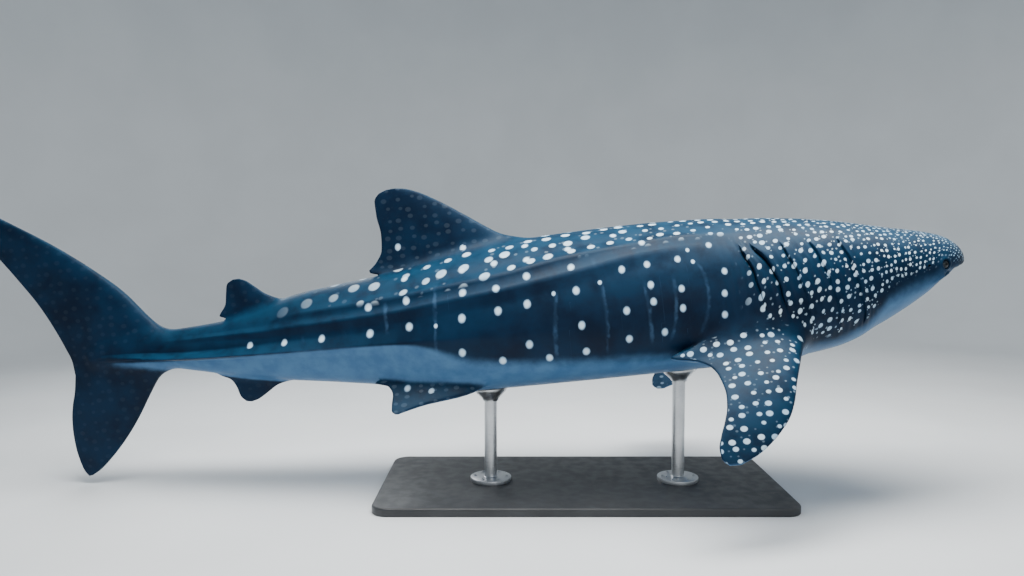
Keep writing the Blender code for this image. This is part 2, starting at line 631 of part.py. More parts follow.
def stand_support(word, s, trimmer):
    """A foot on the base, a plain rod, and a flared saddle cut to the belly's shape."""
    x = float(place(s, 0, 0)[0])
    belly = float(place(s, 0, float(BELLY(s)))[2])
    foot_bottom = BASE_SIZE[2] + GAP
    foot_top = foot_bottom + FOOT_HEIGHT
    neck = belly - SADDLE_HEIGHT
    foot = turned("stand_foot_" + word, x,
                  [(FOOT_RADIUS, foot_bottom), (FOOT_RADIUS, foot_top - FOOT_BEVEL),
                   (FOOT_RADIUS - FOOT_BEVEL, foot_top)])
    rod = turned("stand_rod_" + word, x, [(ROD_RADIUS, foot_top + GAP), (ROD_RADIUS, neck - GAP)])
    saddle = turned("stand_saddle_" + word, x,
                    [(SADDLE_NECK, neck), (SADDLE_NECK, neck + SADDLE_RIM),
                     (SADDLE_RADIUS, belly - SADDLE_RIM), (SADDLE_RADIUS, belly + SADDLE_SPARE)])
    cut(saddle, trimmer)
    for piece in (foot, rod, saddle):
        finish(piece, piece.name + "_metal", METAL, METAL_ROUGHNESS, 1.0)


def build():
    """Every node of the model."""
    head = body_part("head", 0, HEAD_END)
    body_part("gill_region", HEAD_END, GILLS_END)
    body_part("trunk", GILLS_END, TRUNK_END)
    body_part("tail_stalk", TRUNK_END, BODY_END)
    eyes_and_pits(head)
    trimmer = trimming_body()
    fins = [first_dorsal_fin(), second_dorsal_fin(), anal_fin(), caudal_upper_lobe(), caudal_lower_lobe()]
    for side, word in ((-1, "right"), (1, "left")):
        fins.append(pectoral_fin("pectoral_fin_" + word, side))
        fins.append(pelvic_fin("pelvic_fin_" + word, side))
    for fin in fins:
        cut(fin, trimmer)
        finish(fin, fin.name + "_skin", SKIN, SKIN_ROUGHNESS)
    stand_base()
    for word, s in ROD_PLACES.items():
        stand_support(word, s, trimmer)
    bpy.data.objects.remove(trimmer, do_unlink=True)


build()
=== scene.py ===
"""The whale shark model dressed: its skin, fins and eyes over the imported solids, on the stand.

Metres, +Z up, the head along +X and the right flank to -Y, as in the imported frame. The shark is
drawn in body coordinates: s runs back from the snout, y to the left, and h up from its axis.
"""
import math

import bmesh
import bpy
import numpy as np
from mathutils.bvhtree import BVHTree
from mathutils.kdtree import KDTree
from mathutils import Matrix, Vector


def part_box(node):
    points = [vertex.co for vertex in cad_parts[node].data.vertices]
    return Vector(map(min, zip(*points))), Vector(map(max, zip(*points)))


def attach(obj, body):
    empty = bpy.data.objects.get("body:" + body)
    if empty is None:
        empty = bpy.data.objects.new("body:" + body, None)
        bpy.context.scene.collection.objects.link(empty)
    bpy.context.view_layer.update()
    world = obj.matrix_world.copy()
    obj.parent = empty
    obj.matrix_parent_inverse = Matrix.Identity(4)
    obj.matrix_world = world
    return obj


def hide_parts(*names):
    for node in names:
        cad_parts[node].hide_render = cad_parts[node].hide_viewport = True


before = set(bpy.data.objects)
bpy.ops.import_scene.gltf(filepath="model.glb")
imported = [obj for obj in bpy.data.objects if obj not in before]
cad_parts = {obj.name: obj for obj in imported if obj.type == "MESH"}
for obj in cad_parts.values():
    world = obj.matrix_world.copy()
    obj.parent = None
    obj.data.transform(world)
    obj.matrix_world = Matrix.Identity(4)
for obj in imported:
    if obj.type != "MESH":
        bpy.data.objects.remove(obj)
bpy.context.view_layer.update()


# The body
# Solid flesh under one tough skin, broad and flat at the head, with three ridges along each
# flank, the lowest of which grows into the keel of the tail stalk. The gill slits, the line of
# the mouth and the pits of the head are all formed in the same skin.
BODY_PITCH = math.radians(5.8)
PIVOT_S = 2.35
TAIL_CLEARANCE = 0.05
TAIL_SWING = 0.12
SWING_START = 2.6
SWING_END = 6.35
LOWER_TIP = (5.605, -0.782)
AXIS_HEIGHT = (TAIL_CLEARANCE - (PIVOT_S - LOWER_TIP[0]) * math.sin(BODY_PITCH)
               - LOWER_TIP[1] * math.cos(BODY_PITCH))
TINY = 1e-9
MERGE = 1e-5                        # points closer than this are one


def unit(value):
    """A value kept between 0 and 1."""
    return np.clip(value, 0, 1)


def eased(share):
    """A share from 0 to 1 that starts and ends softly."""
    return share * share * (3 - 2 * share)


def smooth(points):
    """A smooth function through (place, value) pairs that never overshoots between them."""
    place = np.array([p[0] for p in points], float)
    value = np.array([p[1] for p in points], float)
    step = np.diff(place)
    rise = np.diff(value) / step
    slope = np.zeros(len(place))
    slope[0] = rise[0]
    slope[-1] = rise[-1]
    for i in range(1, len(place) - 1):
        if rise[i - 1] * rise[i] > 0:
            before = 2 * step[i] + step[i - 1]
            after = step[i] + 2 * step[i - 1]
            slope[i] = (before + after) / (before / rise[i - 1] + after / rise[i])

    def read(at):
        at = np.clip(at, place[0], place[-1])
        i = np.clip(np.searchsorted(place, at) - 1, 0, len(step) - 1)
        t = (at - place[i]) / step[i]
        return (value[i] * (1 + 2 * t) * (1 - t) ** 2 + value[i + 1] * t * t * (3 - 2 * t)
                + step[i] * (slope[i] * t * (1 - t) ** 2 - slope[i + 1] * t * t * (1 - t)))

    return read


# By station: heights of the back and the belly, the height where the section is widest, and
# its half width without the keel
BACK = smooth([(0, 0.027), (0.004, 0.039), (0.012, 0.056), (0.025, 0.085), (0.045, 0.130), (0.07, 0.168),
               (0.11, 0.206), (0.15, 0.232), (0.25, 0.267), (0.4, 0.302), (0.68, 0.367), (0.9, 0.409),
               (1.25, 0.450), (1.6, 0.476), (1.95, 0.484), (2.45, 0.474), (3.0, 0.425), (3.5, 0.338),
               (3.85, 0.298), (4.1, 0.267), (4.44, 0.180), (4.62, 0.138), (5.0, 0.111), (5.3, 0.080),
               (5.55, 0.010)])
BELLY = smooth([(0, 0.027), (0.004, 0.022), (0.012, 0.016), (0.045, -0.004), (0.11, -0.042), (0.25, -0.128),
                (0.4, -0.212), (0.55, -0.280), (0.7, -0.324), (0.85, -0.366), (1.0, -0.402), (1.25, -0.433),
                (1.6, -0.447), (2.1, -0.450), (2.95, -0.452), (3.3, -0.418), (3.6, -0.367), (3.95, -0.314),
                (4.2, -0.280), (4.5, -0.231), (4.8, -0.165), (5.03, -0.118), (5.3, -0.088), (5.55, -0.040)])
WIDEST = smooth([(0, 0.027), (0.115, 0.000), (0.25, -0.022), (0.8, -0.030), (1.5, -0.055),
                 (2.9, -0.075), (4.75, -0.064), (5.2, -0.036), (5.55, -0.018)])
HALF_WIDTH = smooth([(0, 0.285), (0.004, 0.297), (0.012, 0.310), (0.025, 0.324), (0.045, 0.340),
                     (0.07, 0.355), (0.11, 0.374), (0.15, 0.388), (0.25, 0.411), (0.5, 0.444), (0.9, 0.480),
                     (1.4, 0.506), (2.2, 0.496), (2.8, 0.450), (3.2, 0.385), (3.6, 0.303), (4.0, 0.238),
                     (4.4, 0.176), (4.7, 0.128), (5.0, 0.096), (5.25, 0.066), (5.55, 0.006)])
SQUARE_TOP = smooth([(0, 3.0), (0.4, 2.6), (1.2, 2.2), (3.0, 2.0), (4.6, 1.8), (5.55, 1.8)])
SQUARE_BELLY = smooth([(0, 2.6), (0.5, 2.2), (1.5, 2.3), (3.0, 2.2), (4.6, 1.8), (5.55, 1.8)])
BODY_END = 5.55

# The ridges, by their share of the height from the widest level to the back, and the keel
UPPER_RIDGE_SHARE = smooth([(0, 0.80), (1.7, 0.815), (2.05, 0.775), (2.45, 0.725), (2.8, 0.650),
                            (3.1, 0.625), (4.3, 0.640), (5.55, 0.75)])
MIDDLE_RIDGE_SHARE = smooth([(0, 0.60), (1.7, 0.710), (2.05, 0.665), (2.5, 0.550), (2.9, 0.480),
                             (4.0, 0.415), (4.3, 0.450), (4.7, 0.600), (5.55, 0.62)])
UPPER_RIDGE_RISE = smooth([(1.35, 0), (1.8, 0.016), (3.0, 0.022), (3.8, 0.014), (4.3, 0)])
MIDDLE_RIDGE_RISE = smooth([(1.5, 0), (2.1, 0.016), (3.2, 0.022), (4.4, 0.012), (5.0, 0)])
RIDGE_SPREAD = 9.0
KEEL_REACH = smooth([(2.2, 0), (3.0, 0.010), (3.7, 0.030), (4.3, 0.058), (4.75, 0.074), (5.0, 0.068),
                     (5.2, 0.040), (5.45, 0)])
KEEL_SPREAD = 13.0

# The front of the head: bowed in plan, a full upper lip that overhangs, the jaw sloping back
FRONT_BOW = 0.100
JAW_BOW = 0.125
BOW_POWER = 2.4
MOUTH_BOW = 0.5
MOUTH_DEPTH = 0.012
BOW_END = 0.9
LIP_OVERHANG = smooth([(0, 0.065), (0.004, 0.020), (0.012, -0.006), (0.025, -0.025), (0.045, -0.031),
                       (0.11, -0.025), (0.25, -0.012), (0.5, 0)])
JAW_SETBACK = smooth([(0, 0.068), (0.004, 0.038), (0.012, 0.034), (0.045, 0.042), (0.11, 0.056),
                      (0.25, 0.050), (0.6, 0.015), (0.9, 0)])
LIP_GROOVE = smooth([(0, 0), (0.012, 0.012), (0.035, 0.026), (0.08, 0.026), (0.115, 0)])
GROOVE_SPREAD = 7.0

# Gill slits: a station, the height of the lower end, and how wide each gapes
GILL_SLITS = ((0.868, -0.235, 0.18), (1.035, -0.235, 0.18), (1.200, -0.215, 0.30),
              (1.318, -0.110, 1.0), (1.420, -0.060, 0.85))
GILL_TOP = 0.310
GILL_FADE = 0.06
FOOT_GAPE = 0.15                    # a slit's lower end gapes this share of its upper end
GAPE_POWER = 1.8
FLAP_RISE = 0.014
FLAP_LENGTH = 0.08
FLAP_POWER = 1.4
FLAP_EDGE = 0.004                   # the round of a flap's free edge
SLIT_DEPTH = 0.034
SLIT_REAR = 0.045
NARROW_REAR = 0.4                   # the hollow behind a shut slit, as a share of a gaping one's
SLIT_POWER = 1.6
SLIT_OPENING = 0.015                # how far behind a gaping flap the slit stands open
SHADE_END = 1.6                      # the painted shade in a slit ends this many openings behind its flap
GILL_LEAN = 0.14
LEAN_TOP = 0.32
LEAN_DROP = 0.80
LEAN_MIDDLE = 1.1
LEAN_REACH = 0.42
REAR_SWEEP = 0.055                  # how far the upper ends of the last two slits sweep back
REAR_MIDDLE = 1.33
REAR_REACH = 0.09
REAR_FOOT = 0.15
REAR_RISE = 0.17
REAR_POWER = 1.2
SLIT_WAVE = 0.0035                  # the slits waver this much, at this rate by height and station
WAVE_TURNS = (41, 23)
FOLD_DEPTH = 0.0022                 # soft upright folds of the skin among the gills
FOLD_PITCH = 0.047
FOLD_BEHIND = 0.1                   # the folds' middle lies this far behind the lean's
FOLD_WANDER = (2.2, 5, 3)           # how far the folds wander, and how fast by height and station
FOLD_FOOT = -0.3
FOLD_TOP = 0.36
FOLD_FADE = 0.1
CREST_POWER = 1.25                  # how hollow the sides of a ridge or groove are


def tail_swing(s):
    """How far the body is swung to the left at stations s."""
    return TAIL_SWING * np.clip((s - SWING_START) / (SWING_END - SWING_START), 0, None) ** 2


def place(s, y, h):
    """World position of a point given in body coordinates."""
    s = np.asarray(s, float)
    x = (PIVOT_S - s) * math.cos(BODY_PITCH) - h * math.sin(BODY_PITCH)
    z = AXIS_HEIGHT + (PIVOT_S - s) * math.sin(BODY_PITCH) + h * math.cos(BODY_PITCH)
    return np.stack(np.broadcast_arrays(x, y + tail_swing(s), z), axis=-1)


def unplace(points):
    """Body coordinates of points of the world, as columns s, y and h."""
    x = points[:, 0]
    z = points[:, 2] - AXIS_HEIGHT
    s = PIVOT_S - (x * math.cos(BODY_PITCH) + z * math.sin(BODY_PITCH))
    h = z * math.cos(BODY_PITCH) - x * math.sin(BODY_PITCH)
    return np.stack([s, points[:, 1] - tail_swing(s), h], axis=-1)


def ridge_angle(share, station):
    """Degrees round the section, from its widest level, to a ridge at this share of the height."""
    return math.degrees(math.asin(float(share(station)) ** (float(SQUARE_TOP(station)) / 2)))


def slit_spans(h):
    """For each gill slit: its station, how fully it shows at heights h, and how wide it gapes there."""
    for slit, foot, gape in GILL_SLITS:
        reach = unit((GILL_TOP - h) / GILL_FADE) * unit((h - foot) / GILL_FADE)
        upper = unit((h - foot) / (GILL_TOP - foot))
        yield slit, eased(reach), gape * (FOOT_GAPE + (1 - FOOT_GAPE) * upper ** GAPE_POWER)


def slit_shade(station, h):
    """Painted shade: 1 in the opening of a gill slit, 0 outside it."""
    painted_recess_shade = np.zeros(len(h))
    for slit, reach, gape in slit_spans(h):
        if station > slit:
            painted_recess_shade = np.maximum(painted_recess_shade, reach * unit(SHADE_END - (station - slit) / (SLIT_OPENING * gape)))
    return painted_recess_shade


def gill_relief(station, h):
    """How far the gill flaps stand out and their slits go in, at heights h."""
    relief = np.zeros(len(h))
    for slit, reach, gape in slit_spans(h):
        behind = station - slit
        if -FLAP_LENGTH < behind <= 0:
            edge = math.sqrt(max(0.0, 1 - max(0.0, 1 + behind / FLAP_EDGE) ** 2))
            relief += reach * FLAP_RISE * (1 + behind / FLAP_LENGTH) ** FLAP_POWER * edge
        elif behind > 0:
            rear = SLIT_REAR * (NARROW_REAR + (1 - NARROW_REAR) * gape)
            relief -= reach * SLIT_DEPTH * gape * unit(1 - behind / rear) ** SLIT_POWER
    span = math.exp(-((station - LEAN_MIDDLE - FOLD_BEHIND) / LEAN_REACH) ** 6)
    wander, by_height, by_station = FOLD_WANDER
    wave = np.sin(2 * math.pi * station / FOLD_PITCH + wander * np.sin(by_height * h + by_station * station))
    return (relief + FOLD_DEPTH * span * wave * unit((FOLD_TOP - h) / FOLD_FADE)
            * unit((h - FOLD_FOOT) / FOLD_FADE))


def crests(angle, at, spread):
    """1 on the crest at this angle on each side, falling to 0 at its foot in a hollow curve."""
    total = 0
    for crest in (at, 180 - at):
        away = np.abs((angle - crest + 180) % 360 - 180)
        total = total + unit(1 - away / spread) ** CREST_POWER
    return total


def skin_points(station, angle):
    """Points of the skin in body coordinates, for one station and an array of angles."""
    turn = np.radians(angle)
    side = -np.cos(turn)
    up = np.where(np.abs(np.sin(turn)) < TINY, 0, np.sin(turn))
    half_width = float(HALF_WIDTH(station))
    widest = float(WIDEST(station))
    height = np.where(up > 0, float(BACK(station)) - widest, widest - float(BELLY(station)))
    power = 2 / np.where(up > 0, float(SQUARE_TOP(station)), float(SQUARE_BELLY(station)))
    y = half_width * np.sign(side) * np.abs(side) ** power
    h = widest + height * np.sign(up) * np.abs(up) ** power

    mouth = max(0.0, 1 - station / MOUTH_DEPTH)
    bow = FRONT_BOW + JAW_BOW * ((1 - mouth) * (1 - up) / 2 + mouth * MOUTH_BOW)
    bow = bow * max(0.0, 1 - station / BOW_END) ** 2 * np.abs(y / half_width) ** BOW_POWER
    lips = float(LIP_OVERHANG(station)) * (1 + up) / 2 + float(JAW_SETBACK(station)) * (1 - up) / 2
    drop = unit((LEAN_TOP - h) / LEAN_DROP)
    lean = GILL_LEAN * math.exp(-((station - LEAN_MIDDLE) / LEAN_REACH) ** 4) * drop * (2 - drop)
    lean -= (REAR_SWEEP * math.exp(-((station - REAR_MIDDLE) / REAR_REACH) ** 2)
             * unit((h - REAR_FOOT) / REAR_RISE) ** REAR_POWER)
    by_height, by_station = WAVE_TURNS
    lean += (SLIT_WAVE * math.exp(-((station - LEAN_MIDDLE) / LEAN_REACH) ** 6)
             * np.sin(by_height * h + by_station * station))

    relief = gill_relief(station, h) - float(LIP_GROOVE(station)) * crests(angle, 0, GROOVE_SPREAD)
    relief += float(KEEL_REACH(station)) * crests(angle, 0, KEEL_SPREAD)
    for share, rise in ((MIDDLE_RIDGE_SHARE, MIDDLE_RIDGE_RISE), (UPPER_RIDGE_SHARE, UPPER_RIDGE_RISE)):
        relief += float(rise(station)) * crests(angle, ridge_angle(share, station), RIDGE_SPREAD)
    out_y = side * height
    out_h = up * half_width
    length = np.hypot(out_y, out_h) + TINY
    return np.stack([station + bow + lips - lean, y + relief * out_y / length,
                     h + relief * out_h / length], axis=-1)


# How closely the skin is divided: the step along the body by station, the points round it, and
# the steps from the side to the two ridges above it. Points crowd round the mouth and the eyes.
RING = 176
MIDDLE_STEPS = 16
UPPER_STEPS = 22
STEP = smooth([(0, 0.0012), (0.012, 0.003), (0.05, 0.005), (0.35, 0.006), (0.8, 0.009), (1.5, 0.010),
               (1.8, 0.018), (5.55, 0.021)])
SLIT_STEPS = (-0.010, -0.005, -0.002, 0, 0.002, 0.006, 0.011, 0.017, 0.024)
EDGE_CLEAR = 0.003
SIDE_CROWDING = smooth([(0, 3.0), (0.4, 2.0), (0.9, 0)])
CROWDED = 18.0
SAMPLES = 160


def body_stations():
    """The stations of the skin's rings, close at the lips and at the edge of each gill flap."""
    edges = [slit[0] + offset for slit in GILL_SLITS for offset in SLIT_STEPS]
    stations = []
    station = 0.0
    while station < BODY_END:
        in_slit = any(slit[0] + SLIT_STEPS[0] <= station <= slit[0] + SLIT_STEPS[-1] for slit in GILL_SLITS)
        if not in_slit and min(abs(station - edge) for edge in edges) > EDGE_CLEAR:
            stations.append(station)
        station += float(STEP(station))
    return sorted(stations + edges + [BODY_END])


def quarter_angles(station, first, last, steps):
    """Angles from first to last whose points lie evenly along the skin, closer near the side."""
    angle = np.linspace(first, last, SAMPLES)
    turn = np.radians(angle)
    above = first >= 0 and last > 0
    power = 2 / float(SQUARE_TOP(station) if above else SQUARE_BELLY(station))
    tall = abs(float(BACK(station) if above else BELLY(station)) - float(WIDEST(station)))
    y = float(HALF_WIDTH(station)) * np.abs(np.cos(turn)) ** power
    h = tall * np.abs(np.sin(turn)) ** power
    middle = (angle[1:] + angle[:-1]) / 2
    crowd = 1 + float(SIDE_CROWDING(station)) * np.exp(-(middle / CROWDED) ** 2)
    length = np.concatenate([[0], np.cumsum(np.hypot(np.diff(y), np.diff(h)) * crowd)])
    return np.interp(np.linspace(0, length[-1], steps + 1), length, angle)


def ring_angles(station):
    """Angles of a ring's points, starting on the right side, with points on every ridge."""
    quarter = RING // 4
    middle = ridge_angle(MIDDLE_RIDGE_SHARE, station)
    upper = ridge_angle(UPPER_RIDGE_SHARE, station)
    above = np.concatenate([quarter_angles(station, 0, middle, MIDDLE_STEPS)[:-1],
                            quarter_angles(station, middle, upper, UPPER_STEPS - MIDDLE_STEPS)[:-1],
                            quarter_angles(station, upper, 90, quarter - UPPER_STEPS)])
    below = -quarter_angles(station, 0, -90, quarter)
    return np.concatenate([above[:-1], 180 - above[:0:-1], 180 + below[:-1], 360 - below[:0:-1]])


# The pits of the head: the eye sockets, the spiracles behind them and the nostrils. A place is a
# station, an angle round the section and a depth under the skin.
EYE_PLACE = (0.130, 12.0, 0.022)
SPIRACLE_PLACE = (0.270, 13.0, 0.0)
NOSTRIL_PLACE = (0.012, 40.0, 0.0)
EYE_RADIUS = 0.033
LID_RADIUS = 0.034
LID_WIDTH = 0.009
LID_RISE = 0.006
BROW_WIDTH = 0.07
BROW_RISE = 0.005
SOCKET_RADIUS = 0.0275
SOCKET_DEPTH = 0.030
SOCKET_WALL = 0.004
SOCKET_REACH = 0.06                 # along an eye's middle line the lift fades over this length
SOCKET_FADE = 1.6                   # and is gone after this many such lengths
SPIRACLE_SIZE = (0.0085, 0.0060)
SPIRACLE_DEPTH = 0.014
SPIRACLE_RIM = 0.0022
RIM_FORM = (1.5, 0.6)               # the rim's middle and width, in sizes of the spiracle
PIT_FORM = (1.15, 0.6)              # where the pit's wall starts, and its width
NOSTRIL_SIZE = (0.012, 0.026)
NOSTRIL_DEPTH = 0.028
ONE_SIDE = 0.04                     # farther across than this is the head's other side
FAR = 9.0                           # stands for a place too far from a mark or pit for it to show


def spot_on_head(spot, side):
    """A place on the head in body coordinates, and its outward way."""
    station, degrees, depth = spot
    nudge = 3.0
    step = 0.01
    angle = np.array([degrees, degrees + nudge, degrees - nudge])
    if side > 0:
        angle = 180 - angle
    here = skin_points(station, angle)
    ahead = skin_points(station + step, angle[:1])[0]
    out = np.cross(ahead - here[0], here[1] - here[2])
    out *= side * np.sign(out[1]) / np.linalg.norm(out)
    return here[0] - depth * out, out


def from_eye(points, side):
    """How far points are from an eye's middle line and along it, and the eye's outward way."""
    centre, out = spot_on_head(EYE_PLACE, side)
    away = points - centre
    along = away @ out
    return np.linalg.norm(away - np.outer(along, out), axis=1), along, out


def from_spiracle(points, side):
    """How far points are from a spiracle's middle, in sizes of the spiracle, and its outward way."""
    centre, out = spot_on_head(SPIRACLE_PLACE, side)
    away = points - centre
    form = np.hypot(away[:, 0] / SPIRACLE_SIZE[0], away[:, 2] / SPIRACLE_SIZE[1])
    return np.where(np.abs(away[:, 1]) < ONE_SIDE, form, FAR), out


def sink_pits(points):
    """The head's skin raised round the eyes and sunk at the eyes, the spiracles and the nostrils."""
    for side in (-1, 1):
        radius, along, out = from_eye(points, side)
        lift = LID_RISE * np.exp(-((radius - LID_RADIUS) / LID_WIDTH) ** 2)
        lift += BROW_RISE * np.exp(-(radius / BROW_WIDTH) ** 2)
        lift -= SOCKET_DEPTH * unit((SOCKET_RADIUS - radius) / SOCKET_WALL)
        points += np.outer(unit(SOCKET_FADE - np.abs(along) / SOCKET_REACH) * lift, out)
        form, out = from_spiracle(points, side)
        lift = SPIRACLE_RIM * np.exp(-((form - RIM_FORM[0]) / RIM_FORM[1]) ** 2)
        lift -= SPIRACLE_DEPTH * unit((PIT_FORM[0] - form) / PIT_FORM[1])
        points += np.outer(lift, out)
        centre, out = spot_on_head(NOSTRIL_PLACE, side)
        away = (points - centre) / (NOSTRIL_SIZE[0], NOSTRIL_SIZE[1], NOSTRIL_SIZE[0])
        points -= np.outer(NOSTRIL_DEPTH * np.exp(-(away ** 2).sum(1)), out)
    return points


# The first ring is the line where the lips meet, so its lower half lies on its upper half
stations = body_stations()
body_grid = np.array([skin_points(station, ring_angles(station)) for station in stations])
body_grid[0, RING // 2 + 1:] = body_grid[0, RING // 2 - 1:0:-1]

# Where small marks lie: the way along the back and the way round from its middle, both in
# steps between one small mark and the next, which grow from the snout to the tail
MARK_STEP = smooth([(0, 0.029), (0.3, 0.041), (0.7, 0.054), (1.1, 0.069), (1.5, 0.090), (2.2, 0.125),
                    (3.5, 0.16), (5.5, 0.19)])
LEAN_START = 0.45                   # from here on the marks keep upright where the gills lean
LEAN_FULL = 0.3
top = RING // 4
station_line = np.array(stations)[:, None]
mark_step = MARK_STEP(station_line)
back_line = body_grid[:, top]
along = np.cumsum(np.linalg.norm(np.diff(back_line, axis=0), axis=1) / mark_step[1:, 0])
along = np.concatenate([[0], along])[:, None]
from_top = np.roll(body_grid, -top, axis=1)
parts = np.linalg.norm(np.roll(from_top, -1, axis=1) - from_top, axis=2)
leftward = np.cumsum(parts, axis=1) - parts
rightward = leftward - parts.sum(1)[:, None]
around = np.roll(np.where(np.arange(RING) <= RING // 2, leftward, rightward), top, axis=1)
behind_back = (body_grid[..., 0] - back_line[:, :1]) * unit((station_line - LEAN_START) / LEAN_FULL)
body_lay = np.stack(np.broadcast_arrays(along + behind_back / mark_step, around / mark_step, 0.0), axis=-1)


def ring_faces(rings, count):
    """Four-sided faces between rings of points, numbered one ring after another."""
    row = np.arange(rings - 1)[:, None] * count
    here = np.arange(count)[None]
    after = (here + 1) % count
    quads = np.stack([row + here, row + after, row + count + after, row + count + here], axis=-1)
    return [tuple(quad) for quad in quads.reshape(-1, 4).tolist()]


def fan(start, count, tip):
    """Three-sided faces from a ring that begins at one point's number to a point in its middle."""
    return [(start + k, start + (k + 1) % count, tip) for k in range(count)]


def store(mesh, name, values):
    """Keep one number or three at each vertex, for a material to read."""
    kind, field = ("FLOAT", "value") if np.ndim(values) == 1 else ("FLOAT_VECTOR", "vector")
    attribute = mesh.attributes.new(name, kind, "POINT")
    attribute.data.foreach_set(field, np.asarray(values, np.float32).ravel())


def new_piece(name, points, faces, **kept):
    """An object with its doubles merged and its faces turned outwards, and what its vertices keep."""
    mesh = bpy.data.meshes.new(name)
    mesh.from_pydata([tuple(point) for point in np.asarray(points, float).tolist()], [], faces)
    for word, values in kept.items():
        store(mesh, word, values)
    work = bmesh.new()
    work.from_mesh(mesh)
    bmesh.ops.remove_doubles(work, verts=work.verts, dist=MERGE)
    bmesh.ops.recalc_face_normals(work, faces=work.faces)
    work.to_mesh(mesh)
    work.free()
    thing = bpy.data.objects.new(name, mesh)
    bpy.context.scene.collection.objects.link(thing)
    return thing


def closed_loft(name, rings, lay, flat_start=False):
    """A closed skin through rings of equal count, with where its small marks lie."""
    count = rings.shape[1]
    points = rings.reshape(-1, 3)
    marks = lay.reshape(-1, 3)
    faces = ring_faces(len(rings), count)
    for start in [(len(rings) - 1) * count] + [0] * (not flat_start):
        faces += fan(start, count, len(points))
        points = np.concatenate([points, points[start:start + count].mean(0)[None]])
        marks = np.concatenate([marks, marks[start:start + count].mean(0)[None]])
    return new_piece(name, points, faces, lay=marks)


skin = closed_loft("whale_shark_skin", place(*np.moveaxis(body_grid, -1, 0)), body_lay, flat_start=True)


# The fins
# Stiff blades of cartilage under the same skin, thick at the root and round at every edge.
# The dorsal, anal and tail fins stand in the middle plane, and the paired fins droop outward.
FIN_POINTS = 26
THICKEST = 0.30
TRAILING_POWER = 1.5
BROAD_EDGE = 0.012
SMALL_EDGE = 0.009
MOST_ROUND = 0.3                    # at most this share of a chord goes into the round of each edge
LEAST_WIDTH = 0.02
SPAN_CROWDING = 0.9                 # how closely the sections of a paired fin lie towards its tip
FIN_MARK_STEP = 0.068
FIN_MARK_LENGTH = 1.25              # the fins' marks are longer than broad, along the chord
MARKS_START = 240                   # the fins' marks are counted from numbers of their own
MARKS_APART = 20
PAIRED_MARKS = 5                    # the right pectoral and pelvic fins are number 4, the left 6


def fin_section(front, back, normal, thick, edge):
    """Points round one section of a fin, from its leading edge along one face and back."""
    chord = (1 - np.cos(np.pi * np.linspace(0, 1, FIN_POINTS + 1)[1:])) / 2
    ahead = np.sqrt(unit(1 - ((THICKEST - chord) / THICKEST) ** 2))
    behind = 1 - (np.clip(chord - THICKEST, 0, None) / (1 - THICKEST)) ** TRAILING_POWER
    form = np.where(chord < THICKEST, ahead, behind)
    rounding = min(MOST_ROUND, edge / 2 / np.linalg.norm(back - front))
    end = np.sqrt(np.clip(1 - unit((chord - 1 + rounding) / rounding) ** 2, LEAST_WIDTH, 1))
    start = np.sqrt(np.clip(1 - unit(1 - chord / rounding) ** 2, LEAST_WIDTH, 1))
    widths = (edge / 2 * start + (thick - edge) / 2 * form) * end
    middle = front + np.outer(chord, back - front)
    one = middle + widths[:, None] * normal
    other = middle - widths[:, None] * normal
    return np.concatenate([front[None], one, other[::-1]])


def section_lay(section, across, number):
    """Where the small marks lie on a section, and how near each point is to an edge of the fin."""
    at_edge = np.zeros(len(section))
    at_edge[[0, 1, -1]] = 1.0
    at_edge[FIN_POINTS - 2:FIN_POINTS + 4] = 1.0
    along = section[:, 0] / (FIN_MARK_STEP * FIN_MARK_LENGTH) + (MARKS_START + MARKS_APART * number)
    return np.stack([along, np.broadcast_to(across / FIN_MARK_STEP, len(section)), at_edge], axis=-1)


def upright_rings(front_edge, back_edge, thickness, steps, edge):
    """Sections of a fin in the middle plane, between edges given as (share, s, h)."""
    front_s, front_h, back_s, back_h = (smooth([(point[0], point[i]) for point in outline])
                                        for outline in (front_edge, back_edge) for i in (1, 2))
    thick = smooth(thickness)
    rings = []
    for share in np.linspace(0, 1, steps + 1):
        front = np.array([float(front_s(share)), 0, float(front_h(share))])
        back = np.array([float(back_s(share)), 0, float(back_h(share))])
        rings.append(fin_section(front, back, np.array([0, 1, 0]), float(thick(share)), edge))
    return rings


def upright_fin(name, rings, number):
    """The skin of an upright fin. Its number sets its marks apart from those of other fins."""
    lay = np.array([section_lay(section, section[:, 2], number) for section in rings])
    return closed_loft(name, place(*np.moveaxis(np.array(rings), -1, 0)), lay)


first_dorsal = upright_fin("first_dorsal", upright_rings(
    [(0, 2.58, 0.36), (0.10, 2.69, 0.455), (0.22, 2.82, 0.520), (0.35, 2.92, 0.585),
     (0.5, 3.03, 0.662), (0.7, 3.18, 0.760), (0.85, 3.30, 0.825), (0.95, 3.38, 0.852),
     (1, 3.43, 0.858)],
    [(0, 3.46, 0.25), (0.10, 3.56, 0.322), (0.17, 3.65, 0.352), (0.24, 3.60, 0.410),
     (0.35, 3.560, 0.480), (0.5, 3.552, 0.580), (0.7, 3.568, 0.700), (0.85, 3.570, 0.785),
     (0.95, 3.54, 0.834), (1, 3.49, 0.854)],
    [(0, 0.15), (0.15, 0.11), (0.6, 0.06), (1, 0.022)], steps=44, edge=BROAD_EDGE), number=0)

second_dorsal = upright_fin("second_dorsal", upright_rings(
    [(0, 4.16, 0.15), (0.25, 4.26, 0.250), (0.45, 4.33, 0.290), (0.7, 4.39, 0.340),
     (0.9, 4.445, 0.382), (1, 4.48, 0.395)],
    [(0, 4.52, 0.07), (0.25, 4.60, 0.155), (0.35, 4.635, 0.172), (0.5, 4.588, 0.240),
     (0.7, 4.575, 0.310), (0.9, 4.560, 0.370), (1, 4.52, 0.394)],
    [(0, 0.075), (0.3, 0.05), (1, 0.014)], steps=26, edge=SMALL_EDGE), number=1)

